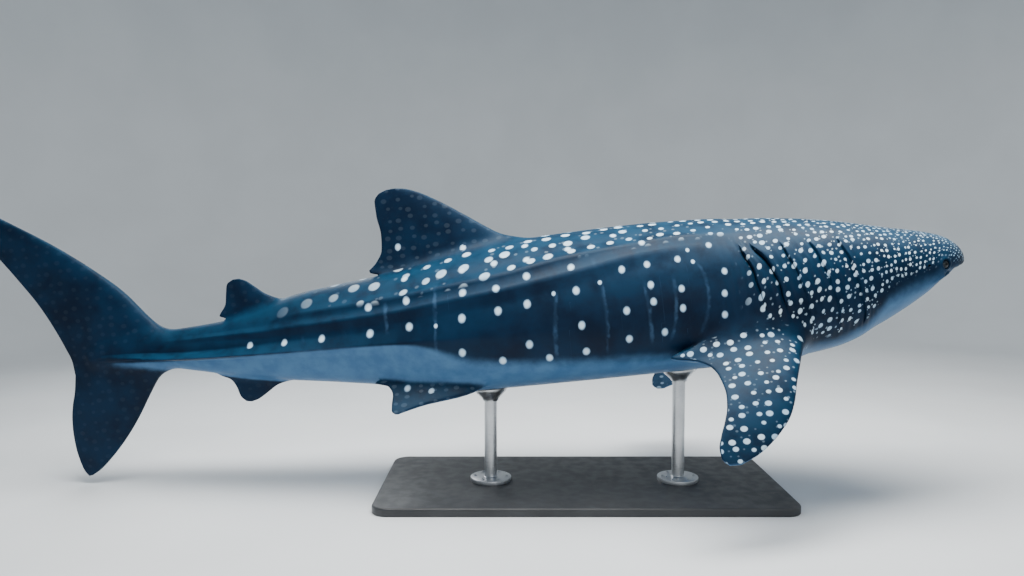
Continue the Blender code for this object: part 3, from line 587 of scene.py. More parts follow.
anal = upright_fin("anal", upright_rings(
    [(0, 4.14, -0.15), (0.25, 4.24, -0.268), (0.45, 4.32, -0.303), (0.7, 4.395, -0.350),
     (0.9, 4.455, -0.383), (1, 4.49, -0.392)],
    [(0, 4.55, -0.11), (0.25, 4.64, -0.170), (0.35, 4.668, -0.196), (0.5, 4.612, -0.235),
     (0.7, 4.580, -0.290), (0.9, 4.560, -0.355), (1, 4.53, -0.386)],
    [(0, 0.075), (0.3, 0.05), (1, 0.014)], steps=26, edge=SMALL_EDGE), number=2)

# The tail fin's two lobes are one blade, parted only by the notch behind them
upper_lobe = upright_rings(
    [(0, 4.90, -0.020), (0.10, 4.985, 0.095), (0.22, 5.095, 0.218), (0.36, 5.239, 0.393),
     (0.5, 5.43, 0.560), (0.64, 5.64, 0.718), (0.78, 5.90, 0.885), (0.9, 6.13, 1.023),
     (0.97, 6.27, 1.105), (1, 6.335, 1.143)],
    [(0, 5.621, -0.120), (0.12, 5.628, -0.034), (0.25, 5.662, 0.065), (0.36, 5.708, 0.175),
     (0.5, 5.79, 0.340), (0.64, 5.92, 0.540), (0.78, 6.06, 0.735), (0.9, 6.215, 0.945),
     (0.97, 6.305, 1.065), (1, 6.352, 1.130)],
    [(0, 0.125), (0.3, 0.10), (0.7, 0.055), (1, 0.018)], steps=62, edge=BROAD_EDGE)
lower_lobe = upright_rings(
    [(0, 4.90, -0.020), (0.15, 5.0, -0.118), (0.28, 5.078, -0.188), (0.42, 5.158, -0.302),
     (0.55, 5.235, -0.420), (0.70, 5.335, -0.550), (0.84, 5.45, -0.670), (0.94, 5.54, -0.746),
     (1, 5.59, -0.774)],
    [(0, 5.621, -0.120), (0.15, 5.640, -0.225), (0.28, 5.664, -0.305), (0.42, 5.682, -0.400),
     (0.55, 5.687, -0.490), (0.70, 5.683, -0.580), (0.84, 5.668, -0.670), (0.94, 5.645, -0.745),
     (1, 5.620, -0.779)],
    [(0, 0.125), (0.3, 0.085), (0.7, 0.045), (1, 0.018)], steps=40, edge=BROAD_EDGE)
tail_fin = upright_fin("tail_fin", lower_lobe[:0:-1] + upper_lobe, number=3)


def paired_fin(name, side, root, droop, front_edge, back_edge, thickness, steps, edge):
    """A fin out from the flank, bending down along its span. side is -1 right, 1 left."""
    front_s, back_s, thick, lean = (smooth(table) for table in (front_edge, back_edge, thickness, droop))
    out, down = root
    previous = 0.0
    rings = []
    lay = []
    for reach in np.linspace(0, 1, steps + 1) ** SPAN_CROWDING * front_edge[-1][0]:
        middle = math.radians(float(lean((reach + previous) / 2)))
        out += (reach - previous) * math.cos(middle)
        down -= (reach - previous) * math.sin(middle)
        previous = reach
        here = math.radians(float(lean(reach)))
        normal = np.array([0, side * math.sin(here), math.cos(here)])
        front = np.array([float(front_s(reach)), side * out, down])
        back = np.array([float(back_s(reach)), side * out, down])
        rings.append(fin_section(front, back, normal, float(thick(reach)), edge))
        lay.append(section_lay(rings[-1], reach, PAIRED_MARKS + side))
    return closed_loft(name, place(*np.moveaxis(np.array(rings), -1, 0)), np.array(lay))


PECTORAL_ROOT = (0.22, -0.225)
PECTORAL_DROOP = [(0, 8), (0.20, 15), (1.0, 64), (1.04, 66)]
PECTORAL_FRONT = [(0, 1.03), (0.18, 1.090), (0.40, 1.195), (0.52, 1.250), (0.62, 1.296), (0.72, 1.337),
                  (0.81, 1.386), (0.885, 1.452), (0.95, 1.528), (1.0, 1.606), (1.035, 1.690)]
PECTORAL_BACK = [(0, 1.62), (0.16, 1.70), (0.30, 1.90), (0.36, 1.77), (0.42, 1.71), (0.51, 1.686),
                 (0.61, 1.680), (0.72, 1.697), (0.80, 1.727), (0.88, 1.764), (0.95, 1.787), (1.0, 1.785),
                 (1.035, 1.750)]
PECTORAL_THICKNESS = [(0, 0.36), (0.18, 0.31), (0.35, 0.160), (0.6, 0.085), (1.035, 0.022)]
PELVIC_ROOT = (0.12, -0.235)
PELVIC_DROOP = [(0, 40), (0.35, 44)]
PELVIC_FRONT = [(0, 2.90), (0.10, 2.93), (0.20, 2.97), (0.26, 3.045), (0.29, 3.15), (0.315, 3.32),
                (0.345, 3.435), (0.366, 3.500)]
PELVIC_BACK = [(0, 3.50), (0.09, 3.59), (0.122, 3.655), (0.155, 3.575), (0.234, 3.541), (0.294, 3.545),
               (0.345, 3.545), (0.366, 3.525)]
PELVIC_THICKNESS = [(0, 0.085), (0.12, 0.06), (0.366, 0.014)]
fins = [first_dorsal, second_dorsal, anal, tail_fin]
for side, word in ((-1, "right"), (1, "left")):
    fins.append(paired_fin("pectoral_" + word, side, PECTORAL_ROOT, PECTORAL_DROOP, PECTORAL_FRONT,
                           PECTORAL_BACK, PECTORAL_THICKNESS, steps=52, edge=BROAD_EDGE))
    fins.append(paired_fin("pelvic_" + word, side, PELVIC_ROOT, PELVIC_DROOP, PELVIC_FRONT,
                           PELVIC_BACK, PELVIC_THICKNESS, steps=26, edge=SMALL_EDGE))


# Body and fins joined in one skin
# The skin runs on from the body over each fin's root in a soft hollow, with no seam.
HOLLOW_PASSES = 6
# How broad the hollow is at the root of each fin, in the order of the list of fins
ROOT_HOLLOWS = (0.08, 0.045, 0.045, 0.075, 0.11, 0.05, 0.11, 0.05)
LEAST_HOLLOW = 0.01                 # the hollow narrows to this where body and fin face each other
LEAST_STEEPNESS = 0.3
EVEN_REACH = 0.035                  # how far from a seam the skin is evened out, and how much
EVEN_SHARE = 0.6
EVEN_PASSES = 3
ZONE_REACH = 1.2                    # a hollow is looked for this many of its widths from the seam
WELD = 0.003
SEAM_REACH = 0.0045
NEW_POINT = 1e-4                    # a point this far from every point before the joining is new
HEAD_LENGTH = 0.5
# Where the skin is divided more finely, so that edges come out round: how far out, and into how many
FINER = ((EYE_PLACE, 0.042, 3), (SPIRACLE_PLACE, 0.022, 4), (NOSTRIL_PLACE, 0.040, 1))


def read_all(items, field, width=1, kind=np.float32):
    """One field of every vertex, edge or corner, as an array."""
    values = np.empty(len(items) * width, kind)
    items.foreach_get(field, values)
    return values.reshape(-1, width) if width > 1 else values


def mesh_points(mesh):
    """The places of a mesh's vertices."""
    return read_all(mesh.vertices, "co", 3).astype(float)


def tree_of(points):
    """A search tree over an array of points."""
    tree = KDTree(len(points))
    for i, point in enumerate(points):
        tree.insert(point, i)
    tree.balance()
    return tree


def nearest(points, tree):
    """For each point, the number of the nearest one in the tree and how far it is."""
    found = [tree.find(point) for point in points]
    return np.array([hit[1] for hit in found]), np.array([hit[2] for hit in found])


class BareSkin:
    """The skin of the body or a fin before they are joined."""

    def __init__(self, mesh):
        self.corners = [np.array(polygon.vertices) for polygon in mesh.polygons]
        self.points = mesh_points(mesh)
        self.normals = read_all(mesh.vertex_normals, "vector", 3).astype(float)
        self.tree = BVHTree.FromPolygons(self.points.tolist(), [list(face) for face in self.corners])

    def read(self, points):
        """How far outside the skin points are, and the way out from it there."""
        distance = np.empty(len(points))
        out = np.empty((len(points), 3))
        for i, point in enumerate(points):
            spot, _, face, gap = self.tree.find_nearest(point)
            corner = self.corners[face]
            weight = 1 / (np.linalg.norm(self.points[corner] - np.array(spot), axis=1) + MERGE)
            normal = weight @ self.normals[corner]
            out[i] = normal / np.linalg.norm(normal)
            distance[i] = math.copysign(gap, (point - np.array(spot)) @ out[i])
        return distance, out


pieces = [skin] + fins
source_tree = tree_of(np.concatenate([mesh_points(piece.data) for piece in pieces]))
source_part = np.concatenate([np.full(len(piece.data.vertices), i) for i, piece in enumerate(pieces)])
body_skin, *fin_skins = [BareSkin(piece.data) for piece in pieces]
for fin in fins:
    union = skin.modifiers.new("union", "BOOLEAN")
    union.operation = "UNION"
    union.solver = "MANIFOLD"
    union.object = fin
graph = bpy.context.evaluated_depsgraph_get()
graph.update()
joined = bpy.data.meshes.new_from_object(skin.evaluated_get(graph))
skin.modifiers.clear()
skin.data = joined
for fin in fins:
    bpy.data.objects.remove(fin, do_unlink=True)

# The points that the joining made lie on the seam
points = mesh_points(joined)
seam_tree = tree_of(points[nearest(points, source_tree)[1] > NEW_POINT])
work = bmesh.new()
work.from_mesh(joined)
near_seam = [vert for vert in work.verts if seam_tree.find(vert.co)[2] < SEAM_REACH]
bmesh.ops.remove_doubles(work, verts=near_seam, dist=WELD)
bmesh.ops.dissolve_degenerate(work, edges=work.edges, dist=MERGE)
bmesh.ops.triangulate(work, faces=[face for face in work.faces if len(face.verts) > 4])
for spot, reach, cuts in FINER:
    for side in (-1, 1):
        middle = place(*spot_on_head((spot[0], spot[1], 0.0), side)[0])
        fine_edges = [edge for edge in work.edges
                      if all(np.linalg.norm(np.array(vert.co) - middle) < reach for vert in edge.verts)]
        bmesh.ops.subdivide_edges(work, edges=fine_edges, cuts=cuts, use_grid_fill=True)
bmesh.ops.triangulate(work, faces=[face for face in work.faces if len(face.verts) > 4])
work.to_mesh(joined)
work.free()

points = mesh_points(joined)
edges = read_all(joined.edges, "vertices", 2, np.int32)
ends = edges.T.ravel()
others = edges[:, ::-1].T.ravel()
degree = np.bincount(ends, minlength=len(points))
seam_away = nearest(points, seam_tree)[1]
part = source_part[nearest(points, source_tree)[0]]


def neighbour_mean(values):
    """Each vertex's mean over the vertices joined to it."""
    total = [np.bincount(ends, weights=column[others], minlength=len(values)) for column in values.T]
    return np.stack(total, axis=-1) / degree[:, None]


# Near each root the points settle on a surface that rounds from the body's skin into the fin's
root_way = np.zeros((len(points), 3))
even = EVEN_SHARE * unit(1 - seam_away / EVEN_REACH)[:, None]
zones = []
for bare, hollow in zip(fin_skins, ROOT_HOLLOWS):
    zones.append(np.array([i for i in np.flatnonzero(seam_away < ZONE_REACH * hollow)
                           if bare.tree.find_nearest(points[i], hollow)[0] is not None]))
for i in range(HOLLOW_PASSES):
    if i > 0:
        for again in range(EVEN_PASSES):
            points += even * (neighbour_mean(points) - points)
    for zone, bare, hollow in zip(zones, fin_skins, ROOT_HOLLOWS):
        to_body, body_out = body_skin.read(points[zone])
        to_fin, fin_out = bare.read(points[zone])
        broad = hollow * np.clip(1 + 2 * (body_out * fin_out).sum(1), LEAST_HOLLOW, 1)
        share = np.clip(broad - np.abs(to_body - to_fin), 0, None) / broad
        fin_share = np.where(to_fin < to_body, 1 - share / 2, share / 2)[:, None]
        way = fin_share * fin_out + (1 - fin_share) * body_out
        gap = np.minimum(to_body, to_fin) - share ** 2 * broad / 4
        steep = (way ** 2).sum(1)
        points[zone] -= way * (gap / np.clip(steep, LEAST_STEEPNESS, None))[:, None]
        root_way[zone] = way / np.sqrt(steep)[:, None]
on_head = np.flatnonzero(points[:, 0] > PIVOT_S - HEAD_LENGTH)
points[on_head] = place(*sink_pits(unplace(points[on_head])).T)
joined.vertices.foreach_set("co", points.astype(np.float32).ravel())
joined.update()


# The skin's markings
# Pale spots stand in upright columns along the flank with thin faint bars between them, the
# head and the pectoral fins are strewn with small dots, and the throat and belly are pale.
# Some values below are painted light rather than markings: shade in the slits, lips, pits and eye sockets,
# and top light where the skin faces up.
body = unplace(points)
s, y, h = body.T

# Each column of spots on the right flank: its station, how it leans, and the heights of its spots
FLANK_COLUMNS = (
    (1.571, -0.12, (0.169, 0.046, -0.074)), (1.604, 0.0, (0.323,)),
    (1.81, -0.05, (0.262, 0.099, -0.019)), (1.972, 0.02, (0.373, 0.251, 0.132, 0.042)),
    (1.90, -0.15, (-0.141,)), (2.125, 0.0, (0.431, 0.237, 0.0, -0.161)),
    (2.393, 0.07, (0.380, 0.273, 0.140, -0.059, -0.210)), (2.56, -0.12, (-0.232,)),
    (2.70, -0.10, (0.421, 0.342, 0.250, 0.091)), (2.68, -0.1, (-0.143,)),
    (2.86, 0.0, (0.337, 0.198, 0.068, -0.227)), (3.075, -0.08, (0.316, 0.190, 0.045, -0.158)),
    (3.215, 0.14, (-0.224,)), (3.39, 0.07, (0.295, 0.169, 0.017, -0.143)), (3.64, 0.0, (0.151, -0.004)),
    (3.943, 0, (-0.011,)), (4.186, 0, (-0.016,)), (4.407, 0, (-0.016,)))
SMALL_SPOTS = ((1.716, 0.239), (1.732, 0.306), (2.26, 0.177), (2.53, 0.345), (2.53, 0.14), (3.23, 0.012))
SPOT_RADIUS = smooth([(1.7, 0.019), (2.6, 0.023), (3.4, 0.024), (4.5, 0.020)])
SMALL_SPOT_RADIUS = 0.013
SPOT_REACH = 1.0                    # a spot is looked for this far away
SPOT_FORM = (1.12, 1.0, 0.90)       # the spots stand a little taller than broad
# The few clear spots of the first dorsal fin and the pelvic fins: a place and a radius each
FIN_SPOTS = (((3.046, -0.054, 0.437), 0.022), ((3.442, -0.020, 0.494), 0.020),
             ((3.438, -0.275, -0.355), 0.022), ((3.293, -0.308, -0.379), 0.020))
# The left flank has the same spots, this much farther back, with small changes of place and size
LEFT_SHIFT = 0.05
LEFT_DRIFT = (0.02, 0.015)
LEFT_SIZES = (0.85, 1.1)
# Each faint bar: its station at the body's axis, its lean, its bend, and the heights it runs between
BARS = ((1.66, -0.15, 1.2, -0.19, 0.24), (1.845, -0.12, 0.6, -0.20, 0.18), (2.0, 0.04, 0.1, -0.21, 0.17),
        (2.245, 0.02, 0.25, -0.24, 0.19), (2.535, -0.12, -0.30, -0.25, 0.17), (2.25, 0.05, 0.2, 0.26, 0.34),
        (3.235, -0.06, 0, -0.20, 0.26), (3.53, 0, 0, -0.02, 0.18), (3.80, 0, 0, -0.03, 0.03),
        (4.06, 0, 0, -0.03, 0.02))
BAR_HALF_WIDTH = 0.010
BAR_REACH = 8                       # a bar is kept this many half widths from its middle
BAR_FADE = 0.05
OFF_MIDDLE = 0.02
rng = np.random.default_rng(11)


def on_skin(at_s, at_h, side):
    """The point of the body's skin at a station and a height, on one side."""
    candidates = np.flatnonzero((part == 0) & (y * side > OFF_MIDDLE))
    gap = (s[candidates] - at_s) ** 2 + (h[candidates] - at_h) ** 2
    best = np.argsort(gap)[:3]
    weight = 1 / (gap[best] + TINY)
    return (points[candidates[best]] * weight[:, None]).sum(0) / weight.sum()


spots = []
for column, tilt, heights in FLANK_COLUMNS:
    for height in heights:
        radius = float(SPOT_RADIUS(column))
        spots.append((on_skin(column + tilt * height, height, -1), radius))
        back = column + LEFT_SHIFT + rng.normal(0, LEFT_DRIFT[0])
        middle = on_skin(back, height + rng.normal(0, LEFT_DRIFT[1]), 1)
        spots.append((middle, radius * rng.uniform(*LEFT_SIZES)))
points_tree = tree_of(points)
for side in (-1, 1):
    spots += [(on_skin(column, height, side), SMALL_SPOT_RADIUS) for column, height in SMALL_SPOTS]
    for (column, across, height), radius in FIN_SPOTS:
        vertex = nearest([place(column, -side * across, height)], points_tree)[0][0]
        spots.append((points[vertex], radius))
spot_edge = np.full(len(points), SPOT_REACH)
from_spot = np.full((len(points), 3), FAR)
for centre, radius in spots:
    away = (points - centre) * SPOT_FORM
    edge = np.linalg.norm(away, axis=1) - radius
    closer = edge < spot_edge
    spot_edge[closer] = edge[closer]
    from_spot[closer] = away[closer] / radius

bar_across = np.full(len(points), FAR)
bar_shows = np.zeros(len(points))
for station, tilt, bend, low, high in BARS:
    across = (s - station - tilt * h - bend * h * h) / BAR_HALF_WIDTH
    closer = np.abs(across) < np.abs(bar_across)
    shows = unit((h - low) / BAR_FADE) * unit((high - h) / BAR_FADE) * unit(BAR_REACH - np.abs(across))
    bar_across = np.where(closer, across, bar_across)
    bar_shows = np.where(closer, shows, bar_shows)

# Under this height the dark of the back fades to the pale belly, and there are no small dots
PALE_LEVEL = smooth([(0, 0.030), (0.10, 0.085), (0.25, 0.088), (0.376, 0.062), (0.512, 0.030),
                     (0.602, -0.010), (0.68, -0.100), (0.76, -0.185), (0.847, -0.232), (0.957, -0.265),
                     (1.3, -0.260), (2.4, -0.215), (3.0, -0.170), (3.4, -0.075), (3.8, -0.065),
                     (4.8, -0.066), (5.5, -0.04)])
PALE_FADE = smooth([(0, 0.11), (0.5, 0.17), (0.9, 0.12), (2.4, 0.11), (3.0, 0.10), (3.5, 0.02), (5.5, 0.02)])
PALE_REACH = 0.060                  # how far from a fin's root the pale and the dark run together
PALE_PASSES = 5
FACING_DOWN = (1.6, 0.1)            # how fast the pale underside of a fin comes in, and from where
# how fast the painted top light comes in where the skin faces up, and from where
TOP_LIGHT_FACING = (1.3, 0.15)
FIN_PALE = (0.9, 0.5, 0.0)          # of the pectoral, the pelvic and the upright fins
on_body = part == 0
on_upright = np.isin(part, (1, 2, 3, 4))
on_pectoral = np.isin(part, (5, 7))
on_pelvic = np.isin(part, (6, 8))
normals = read_all(joined.vertex_normals, "vector", 3)
under = unit(-normals[:, 2] * FACING_DOWN[0] - FACING_DOWN[1])
pale = unit((PALE_LEVEL(s) - h) / PALE_FADE(s))
pale = np.select([on_pectoral, on_pelvic, on_upright], [share * under for share in FIN_PALE], pale)
for i in range(PALE_PASSES):
    pale += np.exp(-(seam_away / PALE_REACH) ** 2) * (neighbour_mean(pale[:, None])[:, 0] - pale)

# How strongly the small dots show: full on the head, the gills and the upper back, where they fade
# towards the tail. On the flank behind the gills the columns take over.
GILLS_END = 1.48
GILLS_FADE = 0.12
BACK_FADE = 1.2
BACK_DOTS_END = 4.3
DOTS_FADE = 0.035
RIDGE_FADE = 0.03
FINE_END = 1.5
FINE_FADE = 0.4
FINE_SHARE = 0.25                   # the smallest dots fade on the gills to this share
# No dots this near an eye or a spiracle: its size, and how many of them are clear
DOTS_CLEAR = ((EYE_PLACE, 0.03, 1.6), (SPIRACLE_PLACE, 0.008, 1.5))
FIN_DOTS = (1.0, 0.06, 0.028, 0.010)  # on the pectoral, pelvic, first dorsal and other upright fins
upper_line = WIDEST(s) + (BACK(s) - WIDEST(s)) * UPPER_RIDGE_SHARE(s)
on_back = unit((h - upper_line) / RIDGE_FADE + 0.5) * unit((BACK_DOTS_END - s) / BACK_FADE)
dots = unit(unit((GILLS_END - s) / GILLS_FADE) + on_back)
dots *= (1 - unit((PALE_LEVEL(s) - h) / DOTS_FADE + 0.5)) * on_body
for side in (-1, 1):
    for spot, size, clear in DOTS_CLEAR:
        dots *= unit(np.linalg.norm(body - spot_on_head(spot, side)[0], axis=1) / size - clear)
dots = np.select([on_pectoral, on_pelvic, part == 1, on_upright], FIN_DOTS, dots)
lay = read_all(joined.attributes["lay"].data, "vector", 3).astype(float)
dots *= 1 - unit(lay[:, 2])
for polygon in joined.polygons:
    corners = np.array(polygon.vertices)
    if np.ptp(lay[corners, 0]) > MARKS_APART:
        dots[corners] = 0
fine = dots * (FINE_SHARE + (1 - FINE_SHARE) * unit((FINE_END - s) / FINE_FADE))

# Painted shade, dark in the depth of each gill slit, between the lips and in the pits
HEAD_END = 1.9
# the painted shade between the lips reaches this far back from where they meet, and is this dark
LIPS_DEPTH = 0.004
LIPS_SHADE = 0.8
# the painted shade inside each eye socket ends at this radius, and is looked for this far away
LID_EDGE = 0.0265
LID_REACH = 0.08
PIT_EDGE = (1.1, 0.3)               # where the painted shade in a spiracle ends, and its fade, in its sizes
NOSTRIL_SHADE = (1.4, 0.016)         # and of a nostril, in sizes of this many metres
in_slit = np.concatenate([slit_shade(station, ring[:, 2]) for station, ring in zip(stations, body_grid)])
shade_between_lips = LIPS_SHADE * unit(1 - np.repeat(stations, RING) / LIPS_DEPTH)
grid_tree = tree_of(place(*body_grid.reshape(-1, 3).T))
head_half = np.flatnonzero(on_body & (s < HEAD_END))
painted_recess_shade = np.zeros(len(points))
painted_recess_shade[head_half] = np.maximum(in_slit, shade_between_lips)[nearest(points[head_half], grid_tree)[0]]
# Painted shade inside the eye sockets: how far each point lies outside the shaded middle of its socket
lid_edge = np.full(len(points), LID_REACH)
for side in (-1, 1):
    radius, along, _ = from_eye(body, side)
    near = np.hypot(radius, along) < LID_REACH
    lid_edge = np.where(near, np.minimum(lid_edge, radius - LID_EDGE), lid_edge)
    # painted shade in the depth of the spiracles and the nostrils
    form, _ = from_spiracle(body, side)
    centre, _ = spot_on_head(NOSTRIL_PLACE, side)
    from_nostril = np.linalg.norm(body - centre, axis=1)
    pits = (unit((PIT_EDGE[0] - form) / PIT_EDGE[1]), unit(NOSTRIL_SHADE[0] - from_nostril / NOSTRIL_SHADE[1]))
    painted_recess_shade = np.maximum(painted_recess_shade, np.maximum(*pits))

# Painted top light: the skin is lighter where it faces up, as if lit from above
painted_top_light = unit(normals[:, 2] * TOP_LIGHT_FACING[0] - TOP_LIGHT_FACING[1])
for name, values in (("from_spot", from_spot), ("spot_edge", spot_edge), ("bar_across", bar_across),
                     ("bar_shows", bar_shows * on_body), ("pale", pale), ("painted_top_light", painted_top_light),
                     ("dots", dots), ("fine_dots", fine), ("hollow", painted_recess_shade), ("lid_edge", lid_edge)):
    store(joined, name, values)


def put(tree, socket, value):
    """Join another node's output to a socket, or set the socket to a value."""
    if isinstance(value, bpy.types.NodeSocket):
        tree.links.new(value, socket)
    elif socket.type == "RGBA" and len(value) == 3:
        socket.default_value = (*value, 1)
    else:
        socket.default_value = value


def add_node(tree, kind, inputs, **settings):
    """A new node, its inputs joined or set by name or number, with settings of its own."""
    made = tree.nodes.new(kind)
    for name, value in settings.items():
        setattr(made, name, value)
    for name, value in inputs.items():
        put(tree, made.inputs[name], value)
    return made


class Finish:
    """One material and the short hands for laying out its nodes."""

    def __init__(self, name):
        self.material = bpy.data.materials.new(name)
        self.material.use_nodes = True
        self.tree = self.material.node_tree

    def shade(self, inputs):
        """Join or set inputs of the material's shader."""
        for name, value in inputs.items():
            put(self.tree, self.tree.nodes["Principled BSDF"].inputs[name], value)

    def node(self, kind, inputs, **settings):
        """A new node of this material."""
        return add_node(self.tree, kind, inputs, **settings)

    def math(self, what, first, second=0.0):
        """Two values put together by one sum."""
        return self.node("ShaderNodeMath", {0: first, 1: second}, operation=what).outputs[0]

    def plus(self, first, second):
        """Two values added."""
        return self.math("ADD", first, second)

    def times(self, first, second):
        """Two values multiplied."""
        return self.math("MULTIPLY", first, second)

    def ramp(self, value, low, high, start=0.0, end=1.0):
        """A value taken smoothly from one range to another."""
        inputs = {0: value, 1: low, 2: high, 3: start, 4: end}
        return self.node("ShaderNodeMapRange", inputs, interpolation_type="SMOOTHSTEP").outputs[0]

    def mix(self, share, first, second):
        """Two colours mixed, all of the first at share 0 and of the second at 1."""
        made = self.node("ShaderNodeMix", {0: share}, data_type="RGBA")
        for socket, colour in zip([item for item in made.inputs if item.type == "RGBA"], (first, second)):
            put(self.tree, socket, colour)
        return [item for item in made.outputs if item.type == "RGBA"][0]

    def patches(self, cloudy, first, second):
        """Two colours in soft patches."""
        return self.mix(self.ramp(cloudy, 0.3, 0.7), first, second)

    def attribute(self, name, output="Fac"):
        """A value stored at the vertices of the mesh."""
        return self.node("ShaderNodeAttribute", {}, attribute_name=name).outputs[output]

    def object_place(self, scale=(1, 1, 1)):
        """The place on the object in metres, stretched by a scale."""
        where = self.node("ShaderNodeTexCoord", {}).outputs["Object"]
        return self.node("ShaderNodeMapping", {"Vector": where, "Scale": scale}).outputs[0]

    def noise(self, vector, scale, detail=3.0, roughness=0.5):
        """Cloudy values about a half."""
        inputs = {"Vector": vector, "Scale": scale, "Detail": detail, "Roughness": roughness}
        return self.node("ShaderNodeTexNoise", inputs).outputs["Fac"]

    def bump(self, height, distance, strength, **under):
        """Small unevenness of the surface, this many metres high, over another where one is given."""
        inputs = {"Height": height, "Distance": distance, "Strength": strength}
        return self.node("ShaderNodeBump", inputs | under).outputs[0]


NAVY = (0.0007, 0.0066, 0.0210)
TEAL = (0.0013, 0.0170, 0.0460)
# the lighter blue of the painted top light
TOP_LIT_BLUE = (0.0048, 0.0390, 0.0830)
# The throat and belly: their own pale colour, made darker and bluer as painted shade of the underside
THROAT = (0.042, 0.118, 0.240)
BELLY_BLUE = (0.070, 0.165, 0.300)
SPOT_WHITE = (0.66, 0.80, 0.90)
SPOT_BLUE = (0.36, 0.56, 0.76)
BAR_BLUE = (0.10, 0.22, 0.40)
# the black of the painted shade in the slits, the lips, the pits and the eye sockets
SHADE_BLACK = (0.0015, 0.003, 0.006)
SKIN_SHARP = math.radians(55)

look = Finish("shark_skin")
where = look.object_place()
lay_place = look.attribute("lay", "Vector")
dot_strength = look.attribute("dots")
fine_strength = look.attribute("fine_dots")
pale_share = look.attribute("pale")
mottle = look.noise(where, scale=2.4, detail=4)
cloud = look.noise(where, scale=9.0, detail=5, roughness=0.6)
# Painted top light: the dark skin turns a lighter blue, in patches, where it faces up; the navy and teal are
# the skin's own colour
top_light_share = look.times(look.attribute("painted_top_light"), look.ramp(cloud, 0.30, 0.62, start=0.35))
dark_share = look.ramp(look.plus(look.times(mottle, 0.6), look.times(cloud, 0.4)), 0.35, 0.65)
dark_skin = look.mix(top_light_share, look.mix(dark_share, NAVY, TEAL), TOP_LIT_BLUE)
throat_share = look.plus(pale_share, look.times(look.math("SUBTRACT", cloud, 0.5), 0.35))
coloured = look.mix(look.ramp(throat_share, 0.1, 0.95), dark_skin, look.patches(cloud, THROAT, BELLY_BLUE))

# The edges of spots and bars wander, and the bars are broken
wander = look.math("SUBTRACT", look.noise(where, scale=26, detail=2), 0.5)
from_middle = look.node("ShaderNodeVectorMath", {0: look.attribute("from_spot", "Vector")},
                        operation="LENGTH").outputs["Value"]
big = look.times(look.ramp(look.plus(from_middle, look.times(wander, 0.4)), 1.26, 0.66),
                 look.ramp(look.attribute("spot_edge"), 0.0085, 0.0055))
bar = look.math("ABSOLUTE", look.plus(look.attribute("bar_across"), look.times(wander, 2.4)))
bar = look.times(look.ramp(bar, 1.7, 0.2), look.attribute("bar_shows"))
bar = look.times(bar, look.ramp(look.noise(where, scale=13), 0.40, 0.60, start=0.25))


def dot_layer(scale, shift, randomness, small, large, keep, soft):
    """Round dots of mixed sizes, one to a cell of the skin's own steps."""
    steps = look.node("ShaderNodeMapping", {"Vector": lay_place, "Location": (shift, shift * 0.7, 0),
                                            "Scale": (scale, scale, 1)}).outputs[0]
    cells = look.node("ShaderNodeTexVoronoi", {"Vector": steps, "Scale": 1.0, "Randomness": randomness},
                      voronoi_dimensions="2D", feature="F1").outputs
    parts = look.node("ShaderNodeSeparateColor", {0: cells["Color"]}).outputs
    edge = look.math("SUBTRACT", cells["Distance"], look.ramp(parts[0], 0.0, 1.0, small, large))
    return look.times(look.ramp(edge, soft, -soft), look.math("GREATER_THAN", parts[1], 1 - keep))


main_dots = dot_layer(scale=1.12, shift=0.37, randomness=0.50, small=0.15, large=0.24, keep=0.97, soft=0.045)
fine_dots = dot_layer(scale=2.2, shift=5.1, randomness=0.80, small=0.12, large=0.20, keep=0.34, soft=0.05)
fine_dots = look.times(fine_dots, look.times(fine_strength, 0.5))
small_marks = look.math("MAXIMUM", look.times(main_dots, dot_strength), fine_dots)
off_pale = look.ramp(pale_share, 1.0, 0.55)
dot_colour = look.mix(look.ramp(cloud, 0.25, 0.75), SPOT_WHITE, SPOT_BLUE)
spot_colour = look.mix(look.ramp(from_middle, 0.30, 1.10), SPOT_WHITE, SPOT_BLUE)
# Over the skin's own bars, dots and spots go two layers of painted shade: black in the slits, lips and pits,
# and inside the eye sockets
for share, colour in ((look.times(bar, 0.20), BAR_BLUE), (look.times(small_marks, off_pale), dot_colour),
                      (look.times(big, off_pale), spot_colour),
                      (look.ramp(look.attribute("hollow"), 0.05, 0.8), SHADE_BLACK),
                      (look.ramp(look.attribute("lid_edge"), 0.0020, -0.0010), SHADE_BLACK)):
    coloured = look.mix(share, coloured, colour)
folds = look.bump(look.noise(where, scale=6.0), distance=0.006, strength=0.22)
grain = look.noise(where, scale=330, detail=2, roughness=0.6)
grain = look.bump(grain, distance=0.0008, strength=0.35, Normal=folds)
look.shade({"Base Color": coloured, "Roughness": look.ramp(cloud, 0.2, 0.8, start=0.40, end=0.54),
            "Specular IOR Level": 0.12, "Normal": grain})
joined.materials.clear()
joined.materials.append(look.material)
joined.shade_smooth()
joined.set_sharp_from_angle(angle=SKIN_SHARP)

# Round the fins' roots the light follows the smooth hollow itself
corner_ways = read_all(joined.corner_normals, "vector", 3)
corner_vertex = read_all(joined.loops, "vertex_index", kind=np.int32)
in_hollow = root_way[corner_vertex].any(axis=1)
corner_ways[in_hollow] = root_way[corner_vertex[in_hollow]]
joined.normals_split_custom_set(corner_ways.tolist())
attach(skin, "root")
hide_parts("head", "gill_region", "trunk", "tail_stalk", "first_dorsal_fin", "second_dorsal_fin",
            "anal_fin", "caudal_upper_lobe", "caudal_lower_lobe", "pectoral_fin_right",
            "pectoral_fin_left", "pelvic_fin_right", "pelvic_fin_left")


